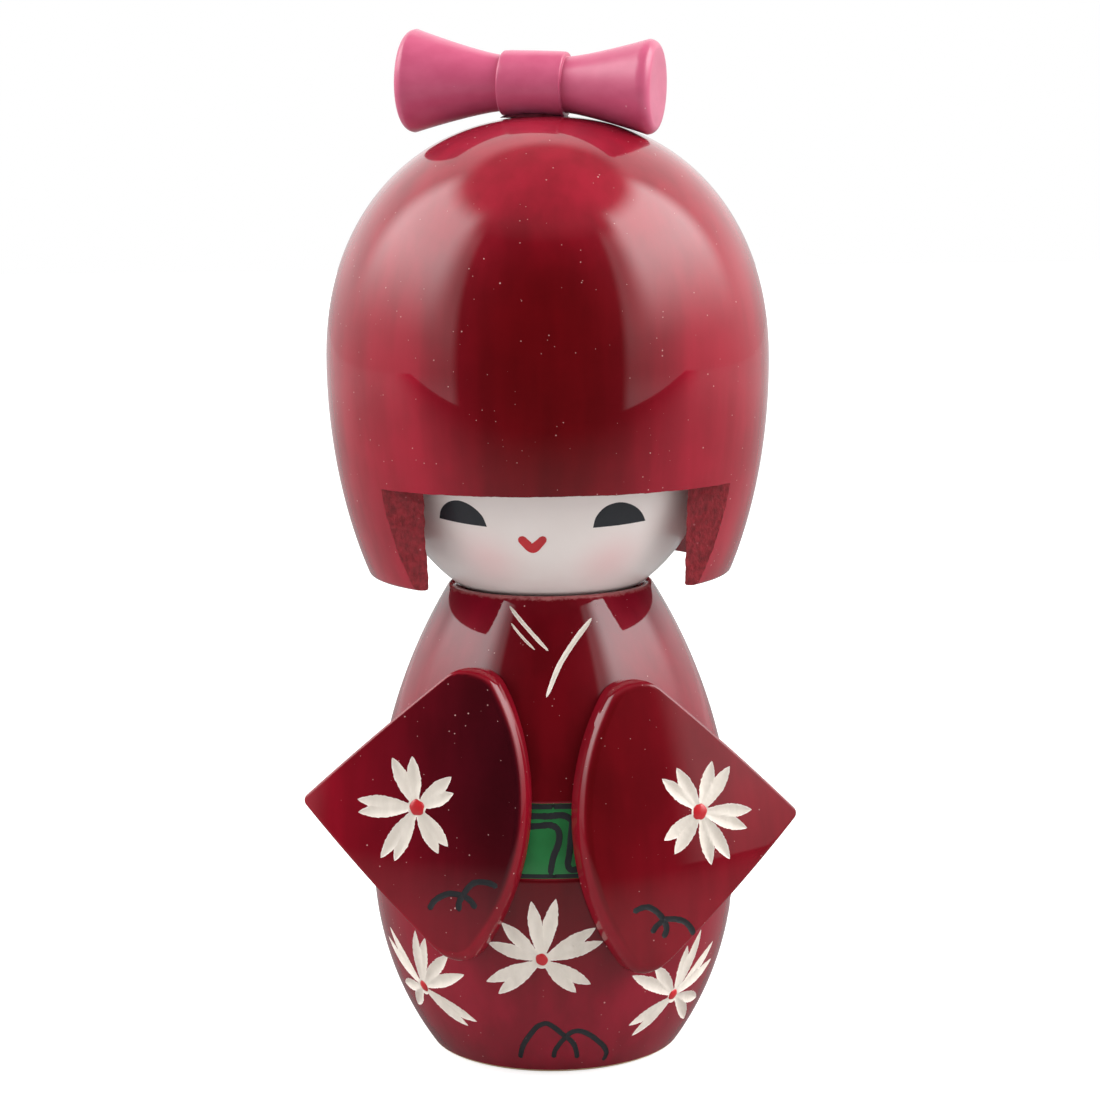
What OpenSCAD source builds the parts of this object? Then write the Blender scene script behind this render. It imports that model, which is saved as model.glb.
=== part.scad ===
// Kokeshi doll: a turned wooden doll with a bobbed hair cap, a ball head that turns
// on a dowel, a robe body with an obi groove, two quarter-disc sleeves and a spool bow.
// Z is up, the base stands on Z = 0 and the doll faces -Y.

/* [Robe body] */
// Widest radius of the robe
belly_r = 22.8; // [20:0.1:26]
// Height of the widest place
belly_z = 23; // [18:0.5:28]
// Radius of the side curve below the belly
skirt_arc_r = 40; // [36:1:60]
// Radius of the side curve above the belly
shoulder_arc_r = 67.5; // [64:0.5:90]
// Height of the collar that the head sits in
collar_z = 58.6; // [57:0.1:60]
// Rounding of the foot edge
foot_round = 0.8; // [0.4:0.1:2]
// Lower edge of the obi groove
obi_low_z = 26.3; // [24:0.1:30]
// Upper edge of the obi groove
obi_high_z = 35.3; // [32:0.1:38]
// Depth of the obi groove
obi_depth = 0.3; // [0.1:0.1:0.6]

/* [Head and neck] */
// Radius of the ball head
head_r = 19.9; // [18:0.1:20]
// Height of the middle of the ball
head_z = 74.8; // [74.5:0.1:76]
// Height of the flat land in the collar that carries the head
land_z = 55.3; // [55.2:0.1:55.8]
// Height of the flat on the crown of the ball
crown_flat_z = 93; // [91:0.5:94]
// Gap between the ball and the dished collar
seat_gap = 0.25; // [0.15:0.05:0.4]
// Radius of the neck dowel
neck_dowel_r = 2.5; // [2:0.1:3]
// Running clearance round the neck dowel, on the radius
neck_clearance = 0.06; // [0.02:0.01:0.1]

/* [Hair cap] */
// Widest radius of the hair
hair_r = 27.3; // [26:0.1:30]
// Height of the widest place of the hair
hair_wide_z = 86.1; // [84:0.1:88]
// Height of the dome above the widest place
hair_dome_h = 29.85; // [28:0.05:32]
// Roundness of the dome: 2 is an ellipse, more is squarer
hair_dome_power = 2.16; // [2:0.02:2.6]
// Vertical half axis of the curve below the widest place
hair_lower_h = 45.9; // [44:0.1:60]
// Height of the lower edge of the locks
hair_rim_z = 60; // [59.5:0.1:62]
// Radius of the hollow at the lower edge
hollow_rim_r = 21.3; // [20:0.1:21.4]
// Radius of the hollow above its flared mouth
hollow_r = 22.5; // [21.5:0.1:23]
// Height where the mouth of the hollow stops flaring
hollow_flare_z = 75; // [74.5:0.1:76]
// Height of the fringe over the face
fringe_z = 72.4; // [70:0.1:74]
// Distance from the axis to the front faces of the locks, at the fringe
window_front = 15.8; // [15:0.1:17]
// The same at the lower edge of the locks
window_front_low = 14.8; // [14:0.1:17]
// Turn of the face window about the axis, in degrees
window_turn = 3; // [-5:0.5:5]

/* [Sleeves] */
// Radius of the turned disc that a sleeve is cut from
sleeve_r = 27.7; // [26:0.1:29]
// Radius of the disc's domed front
sleeve_dome_r = 95; // [80:1:200]
// Thickness of the disc at its middle
sleeve_thick = 6.8; // [6:0.1:8]
// Rounding of the disc's front edge
sleeve_edge_round = 1.2; // [0.5:0.1:1.8]
// Half of the angle of the sector
sleeve_half_angle = 43.5; // [40:0.5:45]
// Rounding of the upper tip
sleeve_tip_up_r = 4; // [2:0.1:5]
// Rounding of the lower tip
sleeve_tip_low_r = 2.8; // [2:0.1:5]
// Rounding of the outer corner
sleeve_corner_r = 0.9; // [0.5:0.1:2]
// How far the sleeves lean back, in degrees
sleeve_lean = 9; // [6:0.5:12]

/* [Bow] */
// Length of the left half of the bow
bow_left_l = 16.4; // [15:0.1:18]
// Length of the right half of the bow
bow_right_l = 15.4; // [15:0.1:18]
// Radius of the bow's left end
bow_left_r = 6.3; // [5.5:0.1:7]
// Radius of the bow's right end
bow_right_r = 5.7; // [5.5:0.1:7]
// Radius of the necks of the bow
bow_neck_r = 3.35; // [3:0.05:3.6]
// Radius of the knot band
bow_knot_r = 4; // [3.8:0.05:4.4]
// Width of the knot band
bow_knot_w = 8; // [6:0.1:10]
// Sideways offset of the bow on the crown
bow_x = -1.1; // [-3:0.1:3]
// Turn of the bow about the vertical, in degrees
bow_turn = -15; // [-30:1:30]
// How far the right end of the bow hangs down, in degrees
bow_tilt = 2.5; // [0:0.5:3]

/* [Pins] */
// Radius of the two sleeve pegs
peg_r = 1.5; // [1.2:0.1:1.8]
// Radius of the pin under the bow
bow_pin_r = 1.2; // [1:0.1:1.5]

/* [Hidden] */
$fn = 96;

// A cut runs this far past the face it opens
past = 1;
// Larger than any part, for half-space cuts
wide = 100;

// Height of the flat on the crown, where the superellipse is cut off
crown_angle = 86;
crown_z = hair_wide_z + hair_dome_h * pow(sin(crown_angle), 2 / hair_dome_power);
// The knot band is sanded flat by this much where it is glued on the crown
bow_flat = 0.1;
bow_z = crown_z + bow_knot_r - bow_flat;

// The neck dowel is glued in the body and runs free in the head
neck_dowel_low_z = 42;
neck_dowel_high_z = 69;
neck_bore_high_z = 70;

// The step in the hair's hollow, and the free gap round the ball above it
hair_step_z = 78;
hair_ball_gap = 0.4;

// The pin under the bow
bow_pin_low_z = 106;
bow_pin_high_z = crown_z + 4.6;
pin_end_gap = 0.5;

// A peg stands on the disc's back at this distance from the corner
peg_from_corner = 16;
// Depths of the peg's two ends below the top of the disc's dome
peg_front_depth = 3.2;
peg_back_depth = 14;

// Where each sleeve's outer corner stands, and how it is set: seen from the front,
// [distance sideways, distance forward, height, turn outward, roll in its own plane]
sleeve_left_place = [30.4, 16.4, 34.9, 23, -0.5];
sleeve_right_place = [29.85, 15.4, 32.3, 28, 2.5];

// Points along a circular arc
function arc(cx, cy, r, from, to, n) =
    [for (i = [0:n]) let (a = from + (to - from) * i / n) [cx + r * cos(a), cy + r * sin(a)]];

// Radius of the robe at a height
function robe_r(z) = let (r = z < belly_z ? skirt_arc_r : shoulder_arc_r)
    belly_r - r + sqrt(r * r - pow(z - belly_z, 2));

// Points up the side of the robe, set in by a depth
function robe_side(low, high, n, inset = 0) =
    [for (i = [0:n]) let (z = low + (high - low) * i / n) [robe_r(z) - inset, z]];

// The foot edge is an arc that meets the base and the skirt curve smoothly
foot_x = belly_r - skirt_arc_r
    + sqrt(pow(skirt_arc_r - foot_round, 2) - pow(belly_z - foot_round, 2));
foot_angle = atan2(foot_round - belly_z, foot_x - belly_r + skirt_arc_r);
foot_top_z = foot_round + foot_round * sin(foot_angle);
foot_edge = arc(foot_x, foot_round, foot_round, -90, foot_angle, 4);

// Radius of the hair below and above its widest place
function hair_low_r(z) = hair_r * sqrt(1 - pow((hair_wide_z - z) / hair_lower_h, 2));
function hair_dome(a) = [hair_r * pow(cos(a), 2 / hair_dome_power),
                         hair_wide_z + hair_dome_h * pow(sin(a), 2 / hair_dome_power)];

// Outline of the sleeve's sector: a corner, two straight sides, two round tips, an arc
function tip_angle(r) = asin(r / (sleeve_r - r));
low_tip_a = -sleeve_half_angle + tip_angle(sleeve_tip_low_r);
up_tip_a = sleeve_half_angle - tip_angle(sleeve_tip_up_r);
low_tip_d = sleeve_r - sleeve_tip_low_r;
up_tip_d = sleeve_r - sleeve_tip_up_r;
corner_d = sleeve_corner_r / sin(sleeve_half_angle);
sleeve_outline = concat(
    arc(corner_d, 0, sleeve_corner_r, 90 + sleeve_half_angle, 270 - sleeve_half_angle, 6),
    arc(low_tip_d * cos(low_tip_a), low_tip_d * sin(low_tip_a), sleeve_tip_low_r,
        -90 - sleeve_half_angle, low_tip_a, 8),
    arc(0, 0, sleeve_r, low_tip_a, up_tip_a, 30),
    arc(up_tip_d * cos(up_tip_a), up_tip_d * sin(up_tip_a), sleeve_tip_up_r,
        up_tip_a, 90 + sleeve_half_angle, 8));

// Profile of the disc: flat back, straight rim, round edge and domed front
rim_x = sleeve_r - sleeve_edge_round;
rim_y = sqrt(pow(sleeve_dome_r - sleeve_edge_round, 2) - pow(rim_x, 2)) - sleeve_dome_r;
dome_from = atan2(rim_y + sleeve_dome_r, rim_x);
disc_profile = concat(
    [[0, -sleeve_thick], [sleeve_r, -sleeve_thick]],
    arc(rim_x, rim_y, sleeve_edge_round, 0, dome_from, 5),
    arc(0, -sleeve_dome_r, sleeve_dome_r, dome_from + 1.5, 90, 10));

// Profile of one half of the bow, flaring from the knot to a rounded end
flare_power = 1.25;
flare_steps = 10;
bow_edge = 1.2;
function bow_side(l, end_r) = concat(
    [[0, 0], [bow_neck_r, 0]],
    [for (i = [0:flare_steps]) let (s = i / flare_steps)
        [bow_neck_r + (end_r - bow_neck_r) * pow(s, flare_power),
         bow_knot_w / 2 + (l - bow_edge - bow_knot_w / 2) * s]],
    arc(end_r - bow_edge, l - bow_edge, bow_edge, 15, 90, 5),
    [[0, l]]);

// The robe as turned, before the groove, the seat and the holes
module robe_blank(groove) {
    rotate_extrude()
        polygon(concat(
            [[0, 0]],
            foot_edge,
            robe_side(foot_top_z, obi_low_z, 14),
            groove ? robe_side(obi_low_z, obi_high_z, 6, obi_depth) : [],
            robe_side(obi_high_z, collar_z, 14),
            [[0, collar_z]]));
}

// Places something drawn on a lying disc where a sleeve stands on the left
module at_sleeve(place) {
    translate([-place[0], -place[1], place[2]])
        rotate([0, 0, -place[3]])
            rotate([90 - sleeve_lean, 0, 0])
                rotate([0, 0, place[4]])
                    children();
}

// A peg or its hole, lengthened at both ends by a gap
module peg(gap) {
    translate([peg_from_corner, 0, -peg_back_depth - gap])
        cylinder(r = peg_r, h = peg_back_depth - peg_front_depth + 2 * gap);
}

// One sleeve in place: a sector of the disc, scooped to lie on the robe
module sleeve(place) {
    difference() {
        at_sleeve(place)
            intersection() {
                rotate_extrude() polygon(disc_profile);
                translate([0, 0, -sleeve_thick - past])
                    linear_extrude(height = sleeve_thick + 2 * past) polygon(sleeve_outline);
            }
        robe_blank(false);
        at_sleeve(place) peg(pin_end_gap);
    }
}

module kimono_body() {
    color("firebrick") difference() {
        robe_blank(true);
        intersection() {
            translate([0, 0, head_z]) sphere(r = head_r + seat_gap);
            translate([0, 0, land_z]) cylinder(r = belly_r, h = head_r);
        }
        translate([0, 0, neck_dowel_low_z - pin_end_gap])
            cylinder(r = neck_dowel_r, h = collar_z);
        at_sleeve(sleeve_left_place) peg(pin_end_gap);
        mirror([1, 0, 0]) at_sleeve(sleeve_right_place) peg(pin_end_gap);
    }
}

module neck_dowel() {
    color("burlywood")
        translate([0, 0, neck_dowel_low_z])
            cylinder(r = neck_dowel_r, h = neck_dowel_high_z - neck_dowel_low_z);
}

module head() {
    color("seashell") difference() {
        intersection() {
            translate([0, 0, head_z]) sphere(r = head_r);
            translate([0, 0, land_z]) cylinder(r = hair_r, h = crown_flat_z - land_z);
        }
        translate([0, 0, land_z - past])
            cylinder(r = neck_dowel_r + neck_clearance, h = neck_bore_high_z - land_z + past);
    }
}

// The hollow of the hair: a slightly flared mouth, a short bore and a seat over the ball
module hair_hollow() {
    mouth_h = hollow_flare_z - hair_rim_z;
    grow = (hollow_r - hollow_rim_r) / mouth_h;
    translate([0, 0, hair_rim_z - past])
        cylinder(r1 = hollow_rim_r - grow * past, r2 = hollow_r, h = mouth_h + past);
    translate([0, 0, hollow_flare_z])
        cylinder(r = hollow_r, h = hair_step_z - hollow_flare_z);
    intersection() {
        translate([0, 0, head_z]) sphere(r = head_r + hair_ball_gap);
        translate([0, 0, hollow_flare_z + past])
            cylinder(r = hollow_r, h = crown_flat_z - hollow_flare_z - past);
    }
}

// The opening over the face, cut square under the fringe and leaning in at the bottom
module face_window() {
    low_z = hair_rim_z - past;
    lean_in = (window_front - window_front_low) / (fringe_z - hair_rim_z);
    rotate([90, 0, window_turn - 90])
        linear_extrude(height = wide, center = true)
            polygon([[window_front, fringe_z], [wide, fringe_z], [wide, low_z],
                     [window_front_low - lean_in * past, low_z]]);
}

module hair_cap() {
    color("crimson") difference() {
        rotate_extrude()
            polygon(concat(
                [[0, hair_rim_z]],
                [for (i = [0:13]) let (z = hair_rim_z + (hair_wide_z - hair_rim_z) * i / 14)
                    [hair_low_r(z), z]],
                [for (i = [0:22]) hair_dome(crown_angle * i / 22)],
                [[0, crown_z]]));
        hair_hollow();
        face_window();
        translate([bow_x, 0, bow_pin_low_z - pin_end_gap]) cylinder(r = bow_pin_r, h = wide);
    }
}

module bow() {
    color("palevioletred") difference() {
        translate([bow_x, 0, bow_z])
            rotate([0, 90 + bow_tilt, bow_turn])
                union() {
                    cylinder(r = bow_knot_r, h = bow_knot_w, center = true);
                    rotate_extrude() polygon(bow_side(bow_right_l, bow_right_r));
                    rotate([180, 0, 0])
                        rotate_extrude() polygon(bow_side(bow_left_l, bow_left_r));
                }
        translate([bow_x, 0, crown_z - bow_knot_r])
            rotate([0, 0, bow_turn])
                cube([bow_knot_w, wide, 2 * bow_knot_r], center = true);
        translate([bow_x, 0, crown_z - past])
            cylinder(r = bow_pin_r, h = bow_pin_high_z - crown_z + pin_end_gap + past);
    }
}

module bow_pin() {
    color("burlywood")
        translate([bow_x, 0, bow_pin_low_z])
            cylinder(r = bow_pin_r, h = bow_pin_high_z - bow_pin_low_z);
}

module sleeve_left() {
    color("darkred") sleeve(sleeve_left_place);
}

module sleeve_right() {
    color("darkred") mirror([1, 0, 0]) sleeve(sleeve_right_place);
}

module sleeve_left_peg() {
    color("burlywood") at_sleeve(sleeve_left_place) peg(0);
}

module sleeve_right_peg() {
    color("burlywood") mirror([1, 0, 0]) at_sleeve(sleeve_right_place) peg(0);
}

kimono_body();
neck_dowel();
head();
hair_cap();
bow();
bow_pin();
sleeve_left();
sleeve_right();
sleeve_left_peg();
sleeve_right_peg();
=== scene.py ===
# %% [markdown]
# # A turned kokeshi doll, from the CAD frame to a finished look
# The doll is wood turned on a lathe: a robe body, a ball head, a hair cap over the ball, two
# sleeves cut from a turned disc, and a spool that makes the bow. It is stained, carved with a
# V gouge, painted and dipped in clear lacquer. The CAD model has the true sizes. This script
# keeps them and adds what the hand did: gouged petals, drawn lines, paint, dust and gloss.
# Everything below is in millimetres until a mesh is built, where MM turns it into metres.

# %% Load the CAD frame
import math
from collections import namedtuple

import bmesh
import bpy
import numpy as np
from mathutils import Matrix, Vector, noise
from mathutils.geometry import delaunay_2d_cdt


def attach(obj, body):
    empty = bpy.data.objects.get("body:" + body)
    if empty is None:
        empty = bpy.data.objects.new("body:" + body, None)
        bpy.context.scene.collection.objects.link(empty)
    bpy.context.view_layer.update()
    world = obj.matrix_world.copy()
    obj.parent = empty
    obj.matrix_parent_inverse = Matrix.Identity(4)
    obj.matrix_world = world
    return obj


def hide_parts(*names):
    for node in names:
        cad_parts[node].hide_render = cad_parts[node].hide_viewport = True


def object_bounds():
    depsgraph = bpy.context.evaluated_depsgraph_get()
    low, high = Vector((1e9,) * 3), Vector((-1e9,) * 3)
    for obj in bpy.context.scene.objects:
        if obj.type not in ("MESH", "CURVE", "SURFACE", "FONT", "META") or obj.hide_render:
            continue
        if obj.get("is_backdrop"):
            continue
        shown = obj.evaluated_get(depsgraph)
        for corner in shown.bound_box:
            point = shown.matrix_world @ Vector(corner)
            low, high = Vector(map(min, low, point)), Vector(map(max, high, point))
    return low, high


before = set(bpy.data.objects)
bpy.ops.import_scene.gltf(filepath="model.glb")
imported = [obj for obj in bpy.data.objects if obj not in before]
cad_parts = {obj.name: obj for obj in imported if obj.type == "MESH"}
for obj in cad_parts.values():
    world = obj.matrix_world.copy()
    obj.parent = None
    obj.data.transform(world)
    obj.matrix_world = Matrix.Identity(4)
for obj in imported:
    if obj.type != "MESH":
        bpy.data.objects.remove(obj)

MM = 0.001
cad_low, cad_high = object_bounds()
print("CAD box in mm:", [round(v / MM, 2) for v in (*cad_low, *cad_high)])

# %% [markdown]
# ## Camera
# A small doll is photographed from arm's length with a long lens, from just above. A long lens
# keeps the round forms calm. The camera leans by less than a degree, as a hand-set tripod does.

# %% Camera
AIM = Vector((0, 0, 62.4))
CAMERA_DISTANCE = 325
CAMERA_PITCH = math.radians(8.5)
CAMERA_LEAN = math.radians(0.7)

camera = bpy.data.objects.new("camera", bpy.data.cameras.new("camera"))
bpy.context.scene.collection.objects.link(camera)
ahead = Vector((0, math.cos(CAMERA_PITCH), -math.sin(CAMERA_PITCH)))
level_up = Vector((0, math.sin(CAMERA_PITCH), math.cos(CAMERA_PITCH)))
side = Vector((1, 0, 0))
cam_up = level_up * math.cos(CAMERA_LEAN) + side * math.sin(CAMERA_LEAN)
cam_side = side * math.cos(CAMERA_LEAN) - level_up * math.sin(CAMERA_LEAN)
turn = Matrix((cam_side, cam_up, -ahead)).transposed()
camera.matrix_world = Matrix.Translation((AIM - ahead * CAMERA_DISTANCE) * MM) @ turn.to_4x4()
camera.data.sensor_width = 36
camera.data.lens = 85.1
camera.data.clip_start = 0.01
bpy.context.scene.camera = camera
bpy.context.scene.view_settings.view_transform = "Standard"
print("camera at", [round(v, 4) for v in camera.location])

# %% [markdown]
# ## A short way to write nodes
# A node tree is easiest to read when each node is one line: what it is, and what goes in. A
# plain value is set on the socket, another node's output is linked to it. Sockets that share a
# name, as on a Math node, are given by number.

# %% Node helpers
def place(tree, kind, **given):
    """Adds a node. in_0=, in_1= address inputs by number, Capitals by name, the rest are settings."""
    node = tree.nodes.new(kind)
    for key, value in given.items():
        if key.startswith("in_"):
            socket = node.inputs[int(key[3:])]
        elif key[0].isupper():
            socket = node.inputs[key.replace("_", " ")]
        else:
            setattr(node, key, value)
            continue
        if isinstance(value, bpy.types.NodeSocket):
            tree.links.new(value, socket)
        else:
            socket.default_value = value
    return node


def maths(tree, operation, *values):
    """One Math node, and its result."""
    given = {f"in_{i}": v for i, v in enumerate(values)}
    return place(tree, "ShaderNodeMath", operation=operation, **given).outputs[0]


def fade(tree, value, start, end):
    """0 where value is at start, 1 at end, smooth in between."""
    node = place(tree, "ShaderNodeMapRange", interpolation_type="SMOOTHSTEP", in_0=value)
    node.inputs[1].default_value, node.inputs[2].default_value = start, end
    return node.outputs[0]


def mix(tree, factor, a, b, blend="MIX"):
    """A blend of two colours."""
    node = place(tree, "ShaderNodeMix", data_type="RGBA", blend_type=blend, in_0=factor, in_6=a, in_7=b)
    return node.outputs[2]


def own_place(tree):
    """Where a point is on its own object, in metres."""
    return place(tree, "ShaderNodeTexCoord").outputs["Object"]


def bumped(tree, height, strength, distance=0.0001):
    """A normal that follows a height map. distance is the height of a full step, in metres."""
    return place(tree, "ShaderNodeBump", Strength=strength, Distance=distance, Height=height).outputs[0]


print("node helpers ready")


# %% [markdown]
# ## Light
# Gloss shows the room, so the room is what makes lacquer look like lacquer. Here it is a light
# tent: a bright box on each side, a softer wall behind, a dim top and front, a low haze, and a
# dark opening in front for the camera. It is painted on the world by direction, so no lamp has
# to be placed. The camera itself sees plain white. Area lamps would do too, with harder edges.

# %% The light tent
def tent_mask(tree, azimuth, elevation, middle, half, low, high, soft):
    """1 inside a window of the tent, in degrees. soft is the softness of its side, low and high edges."""
    across = maths(tree, "ABSOLUTE", maths(tree, "SUBTRACT", azimuth, middle))
    sides = fade(tree, across, half + soft[0], half - soft[0])
    below = fade(tree, elevation, low - soft[1], low + soft[1])
    above = fade(tree, elevation, high + soft[2], high - soft[2])
    return maths(tree, "MULTIPLY", sides, maths(tree, "MULTIPLY", below, above))


WALL = 0.95
# Soft light never falls below this, so that the face is clear behind the locks
FILL = 0.5
# What the tent shows: middle, half width, low and high edge in degrees, edge softness, brightness
TENT = [
    ("rear", 180, 68, 8, 66, (16, 12, 10), 1.25),
    ("rear", -180, 62, 8, 66, (16, 12, 10), 1.25),
    ("haze", 0, 400, -6, 3, (1, 3, 9), 0.55),
    ("top", 0, 400, 60, 100, (1, 5, 1), 0.24),
    ("left box", -90, 31, 20, 56, (9, 16, 5), 4.8),
    ("right box", 84, 31, 21, 57, (8, 18, 5), 6.0),
    ("front", -1, 54, 50, 75, (8, 5, 9), 0.22),
    ("opening", -4, 44, -16, 54, (3, 3, 5), 0.0),
    ("table", 0, 400, -100, -18, (1, 1, 4), 0.5),
]
world = bpy.data.worlds.new("tent")
bpy.context.scene.world = world
world.use_nodes = True
sky = world.node_tree
sky.nodes.clear()
looking = place(sky, "ShaderNodeSeparateXYZ", in_0=place(sky, "ShaderNodeTexCoord").outputs["Generated"])
sky_azimuth = maths(sky, "DEGREES", maths(sky, "ARCTAN2", looking.outputs[0],
                                          maths(sky, "MULTIPLY", looking.outputs[1], -1)))
sky_elevation = maths(sky, "DEGREES", maths(sky, "ARCSINE", looking.outputs[2]))
glow = (WALL, WALL, WALL, 1)
for _, middle, half, low, high, soft, level in TENT:
    mask = tent_mask(sky, sky_azimuth, sky_elevation, middle, half, low, high, soft)
    glow = mix(sky, mask, glow, (level, level, level, 1))
sky_rays = place(sky, "ShaderNodeLightPath").outputs
glow = mix(sky, sky_rays["Is Diffuse Ray"], glow, (FILL, FILL, FILL, 1), "LIGHTEN")
seen = mix(sky, sky_rays["Is Camera Ray"], glow, (1, 1, 1, 1))
shine = place(sky, "ShaderNodeBackground", Color=seen, Strength=1.0)
place(sky, "ShaderNodeOutputWorld", Surface=shine.outputs[0])
print("tent windows:", [window[0] for window in TENT])

# %% [markdown]
# ## Floor
# The doll stands on a plain pale table. A little glow in the floor lets it run into the white
# behind it, and still leaves a faint contact shadow round the base. A backdrop sheet would do
# the same, but it would also show in the lacquer.

# %% The floor
def new_material(name):
    """An empty node material with its output node."""
    material = bpy.data.materials.new(name)
    material.use_nodes = True
    material.node_tree.nodes.clear()
    return material, material.node_tree


def end_material(tree, shader):
    place(tree, "ShaderNodeOutputMaterial", Surface=shader.outputs[0])


floor_paint, tree = new_material("pale_floor")
matt = place(tree, "ShaderNodeBsdfDiffuse", Color=(0.62, 0.62, 0.62, 1))
glow_floor = place(tree, "ShaderNodeEmission", Color=(1, 1, 1, 1), Strength=0.62)
both = place(tree, "ShaderNodeAddShader", in_0=matt.outputs[0], in_1=glow_floor.outputs[0])
# In the gloss of the lacquer the table looks darker. It runs into the haze far away, and fades
# out toward the dark room in front
forward = place(tree, "ShaderNodeSeparateXYZ", in_0=own_place(tree)).outputs[1]
reach = place(tree, "ShaderNodeVectorMath", operation="LENGTH", in_0=own_place(tree)).outputs["Value"]
table_tone = mix(tree, fade(tree, reach, 0.2, 0.9), (0.23, 0.23, 0.23, 1), (0.42, 0.42, 0.42, 1))
shown = mix(tree, fade(tree, forward, -0.34, -0.07), (0, 0, 0, 1), table_tone)
mirrored_floor = place(tree, "ShaderNodeBsdfDiffuse", Color=shown)
rays = place(tree, "ShaderNodeLightPath").outputs
gloss_sees = place(tree, "ShaderNodeMixShader", in_0=rays["Is Glossy Ray"], in_1=matt.outputs[0],
                   in_2=mirrored_floor.outputs[0])
end_material(tree, place(tree, "ShaderNodeMixShader", in_0=rays["Is Camera Ray"], in_1=gloss_sees.outputs[0],
                         in_2=both.outputs[0]))
FLOOR_FRONT, FLOOR_SIDE, FLOOR_BACK = 0.36, 1.2, 2.4
floor_mesh = bpy.data.meshes.new("floor")
floor_mesh.from_pydata([(-FLOOR_SIDE, -FLOOR_FRONT, 0), (FLOOR_SIDE, -FLOOR_FRONT, 0),
                        (FLOOR_SIDE, FLOOR_BACK, 0), (-FLOOR_SIDE, FLOOR_BACK, 0)], [], [(0, 1, 2, 3)])
floor_mesh.materials.append(floor_paint)
floor = bpy.data.objects.new("floor", floor_mesh)
bpy.context.scene.collection.objects.link(floor)
floor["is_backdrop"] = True
print("floor runs from", -FLOOR_FRONT, "to", FLOOR_BACK, "m")

# %% [markdown]
# ## Effects that several finishes share
# Each effect is one node group with named inputs, and each material places it with its own
# values. Streaks are the long marks that stain leaves in wood. Dust is fine specks that settled
# in the wet lacquer. Edge wear tints a band along an edge: pale wood and thick lacquer. Where
# the band is paler it is also a painted highlight, the light that a rounded edge catches.

# %% Shared node groups
def new_group(name, inputs, outputs):
    """A shader node group with named sockets, and its two end nodes."""
    tree = bpy.data.node_groups.new(name, "ShaderNodeTree")
    for label, value in inputs:
        socket = tree.interface.new_socket(label, in_out="INPUT", socket_type="NodeSocketFloat")
        socket.default_value = value
    for label in outputs:
        tree.interface.new_socket(label, in_out="OUTPUT", socket_type="NodeSocketFloat")
    return tree, place(tree, "NodeGroupInput"), place(tree, "NodeGroupOutput")


def stretched(tree, across, along):
    """Object coordinates, scaled one way across the grain and another way along it."""
    scale = place(tree, "ShaderNodeCombineXYZ", in_0=across, in_1=across, in_2=along).outputs[0]
    scaled = place(tree, "ShaderNodeVectorMath", operation="MULTIPLY", in_0=own_place(tree), in_1=scale)
    return scaled.outputs[0]


def noise_at(tree, vector, detail=4.0, rough=0.55):
    node = place(tree, "ShaderNodeTexNoise", Vector=vector, Scale=1.0, Detail=detail, Roughness=rough)
    return node.outputs[0]


streaks, given, result = new_group("streaks", [("Across", 500), ("Along", 30), ("Clouds", 60)], ["Shade"])
long_marks = noise_at(streaks, stretched(streaks, given.outputs[0], given.outputs[1]))
clouds = noise_at(streaks, stretched(streaks, given.outputs[2], given.outputs[2]), 3.0)
shade = maths(streaks, "MULTIPLY", maths(streaks, "ADD", long_marks, clouds), 0.5)
streaks.links.new(fade(streaks, shade, 0.34, 0.66), result.inputs[0])

dust, given, result = new_group("dust", [("Spacing", 400), ("Size", 0.07), ("Share", 0.35)],
                                ["Speck", "Bump"])
evenly_scaled = stretched(dust, given.outputs[0], given.outputs[0])
cells = place(dust, "ShaderNodeTexVoronoi", Vector=evenly_scaled, Scale=1.0)
pick = place(dust, "ShaderNodeSeparateColor", in_0=cells.outputs["Color"])
chosen = maths(dust, "LESS_THAN", pick.outputs[0], given.outputs[2])
size = maths(dust, "MULTIPLY", given.outputs[1], maths(dust, "ADD", pick.outputs[1], 0.4))
inside = maths(dust, "SUBTRACT", 1.0, maths(dust, "DIVIDE", cells.outputs["Distance"], size))
round_speck = maths(dust, "MULTIPLY", chosen, maths(dust, "MAXIMUM", inside, 0.0))
dust.links.new(maths(dust, "MINIMUM", maths(dust, "MULTIPLY", round_speck, 2.5), 1.0), result.inputs[0])
dust.links.new(round_speck, result.inputs[1])

# Edge band tint: wear, and where a finish makes it paler, a painted highlight along the edge
wear_and_highlight, given, result = new_group("edge_wear_and_highlight", [("Reach", 0.5), ("Breakup", 900)], ["Mask"])
edge = place(wear_and_highlight, "ShaderNodeAttribute", attribute_name="edge").outputs["Fac"]
broken = noise_at(wear_and_highlight, stretched(wear_and_highlight, given.outputs[1], given.outputs[1]), 2.0)
uneven = maths(wear_and_highlight, "MULTIPLY", maths(wear_and_highlight, "SUBTRACT", broken, 0.5), 0.9)
raw = maths(wear_and_highlight, "ADD", maths(wear_and_highlight, "ADD", edge, uneven), given.outputs[0])
wear_and_highlight.links.new(fade(wear_and_highlight, raw, 0.9, 1.3), result.inputs[0])


def use(tree, group, **given):
    """Places a shared effect in a material with its own values."""
    node = tree.nodes.new("ShaderNodeGroup")
    node.node_tree = group
    for key, value in given.items():
        node.inputs[key].default_value = value
    return node


print("shared effects:", [g.name for g in bpy.data.node_groups])
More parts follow.
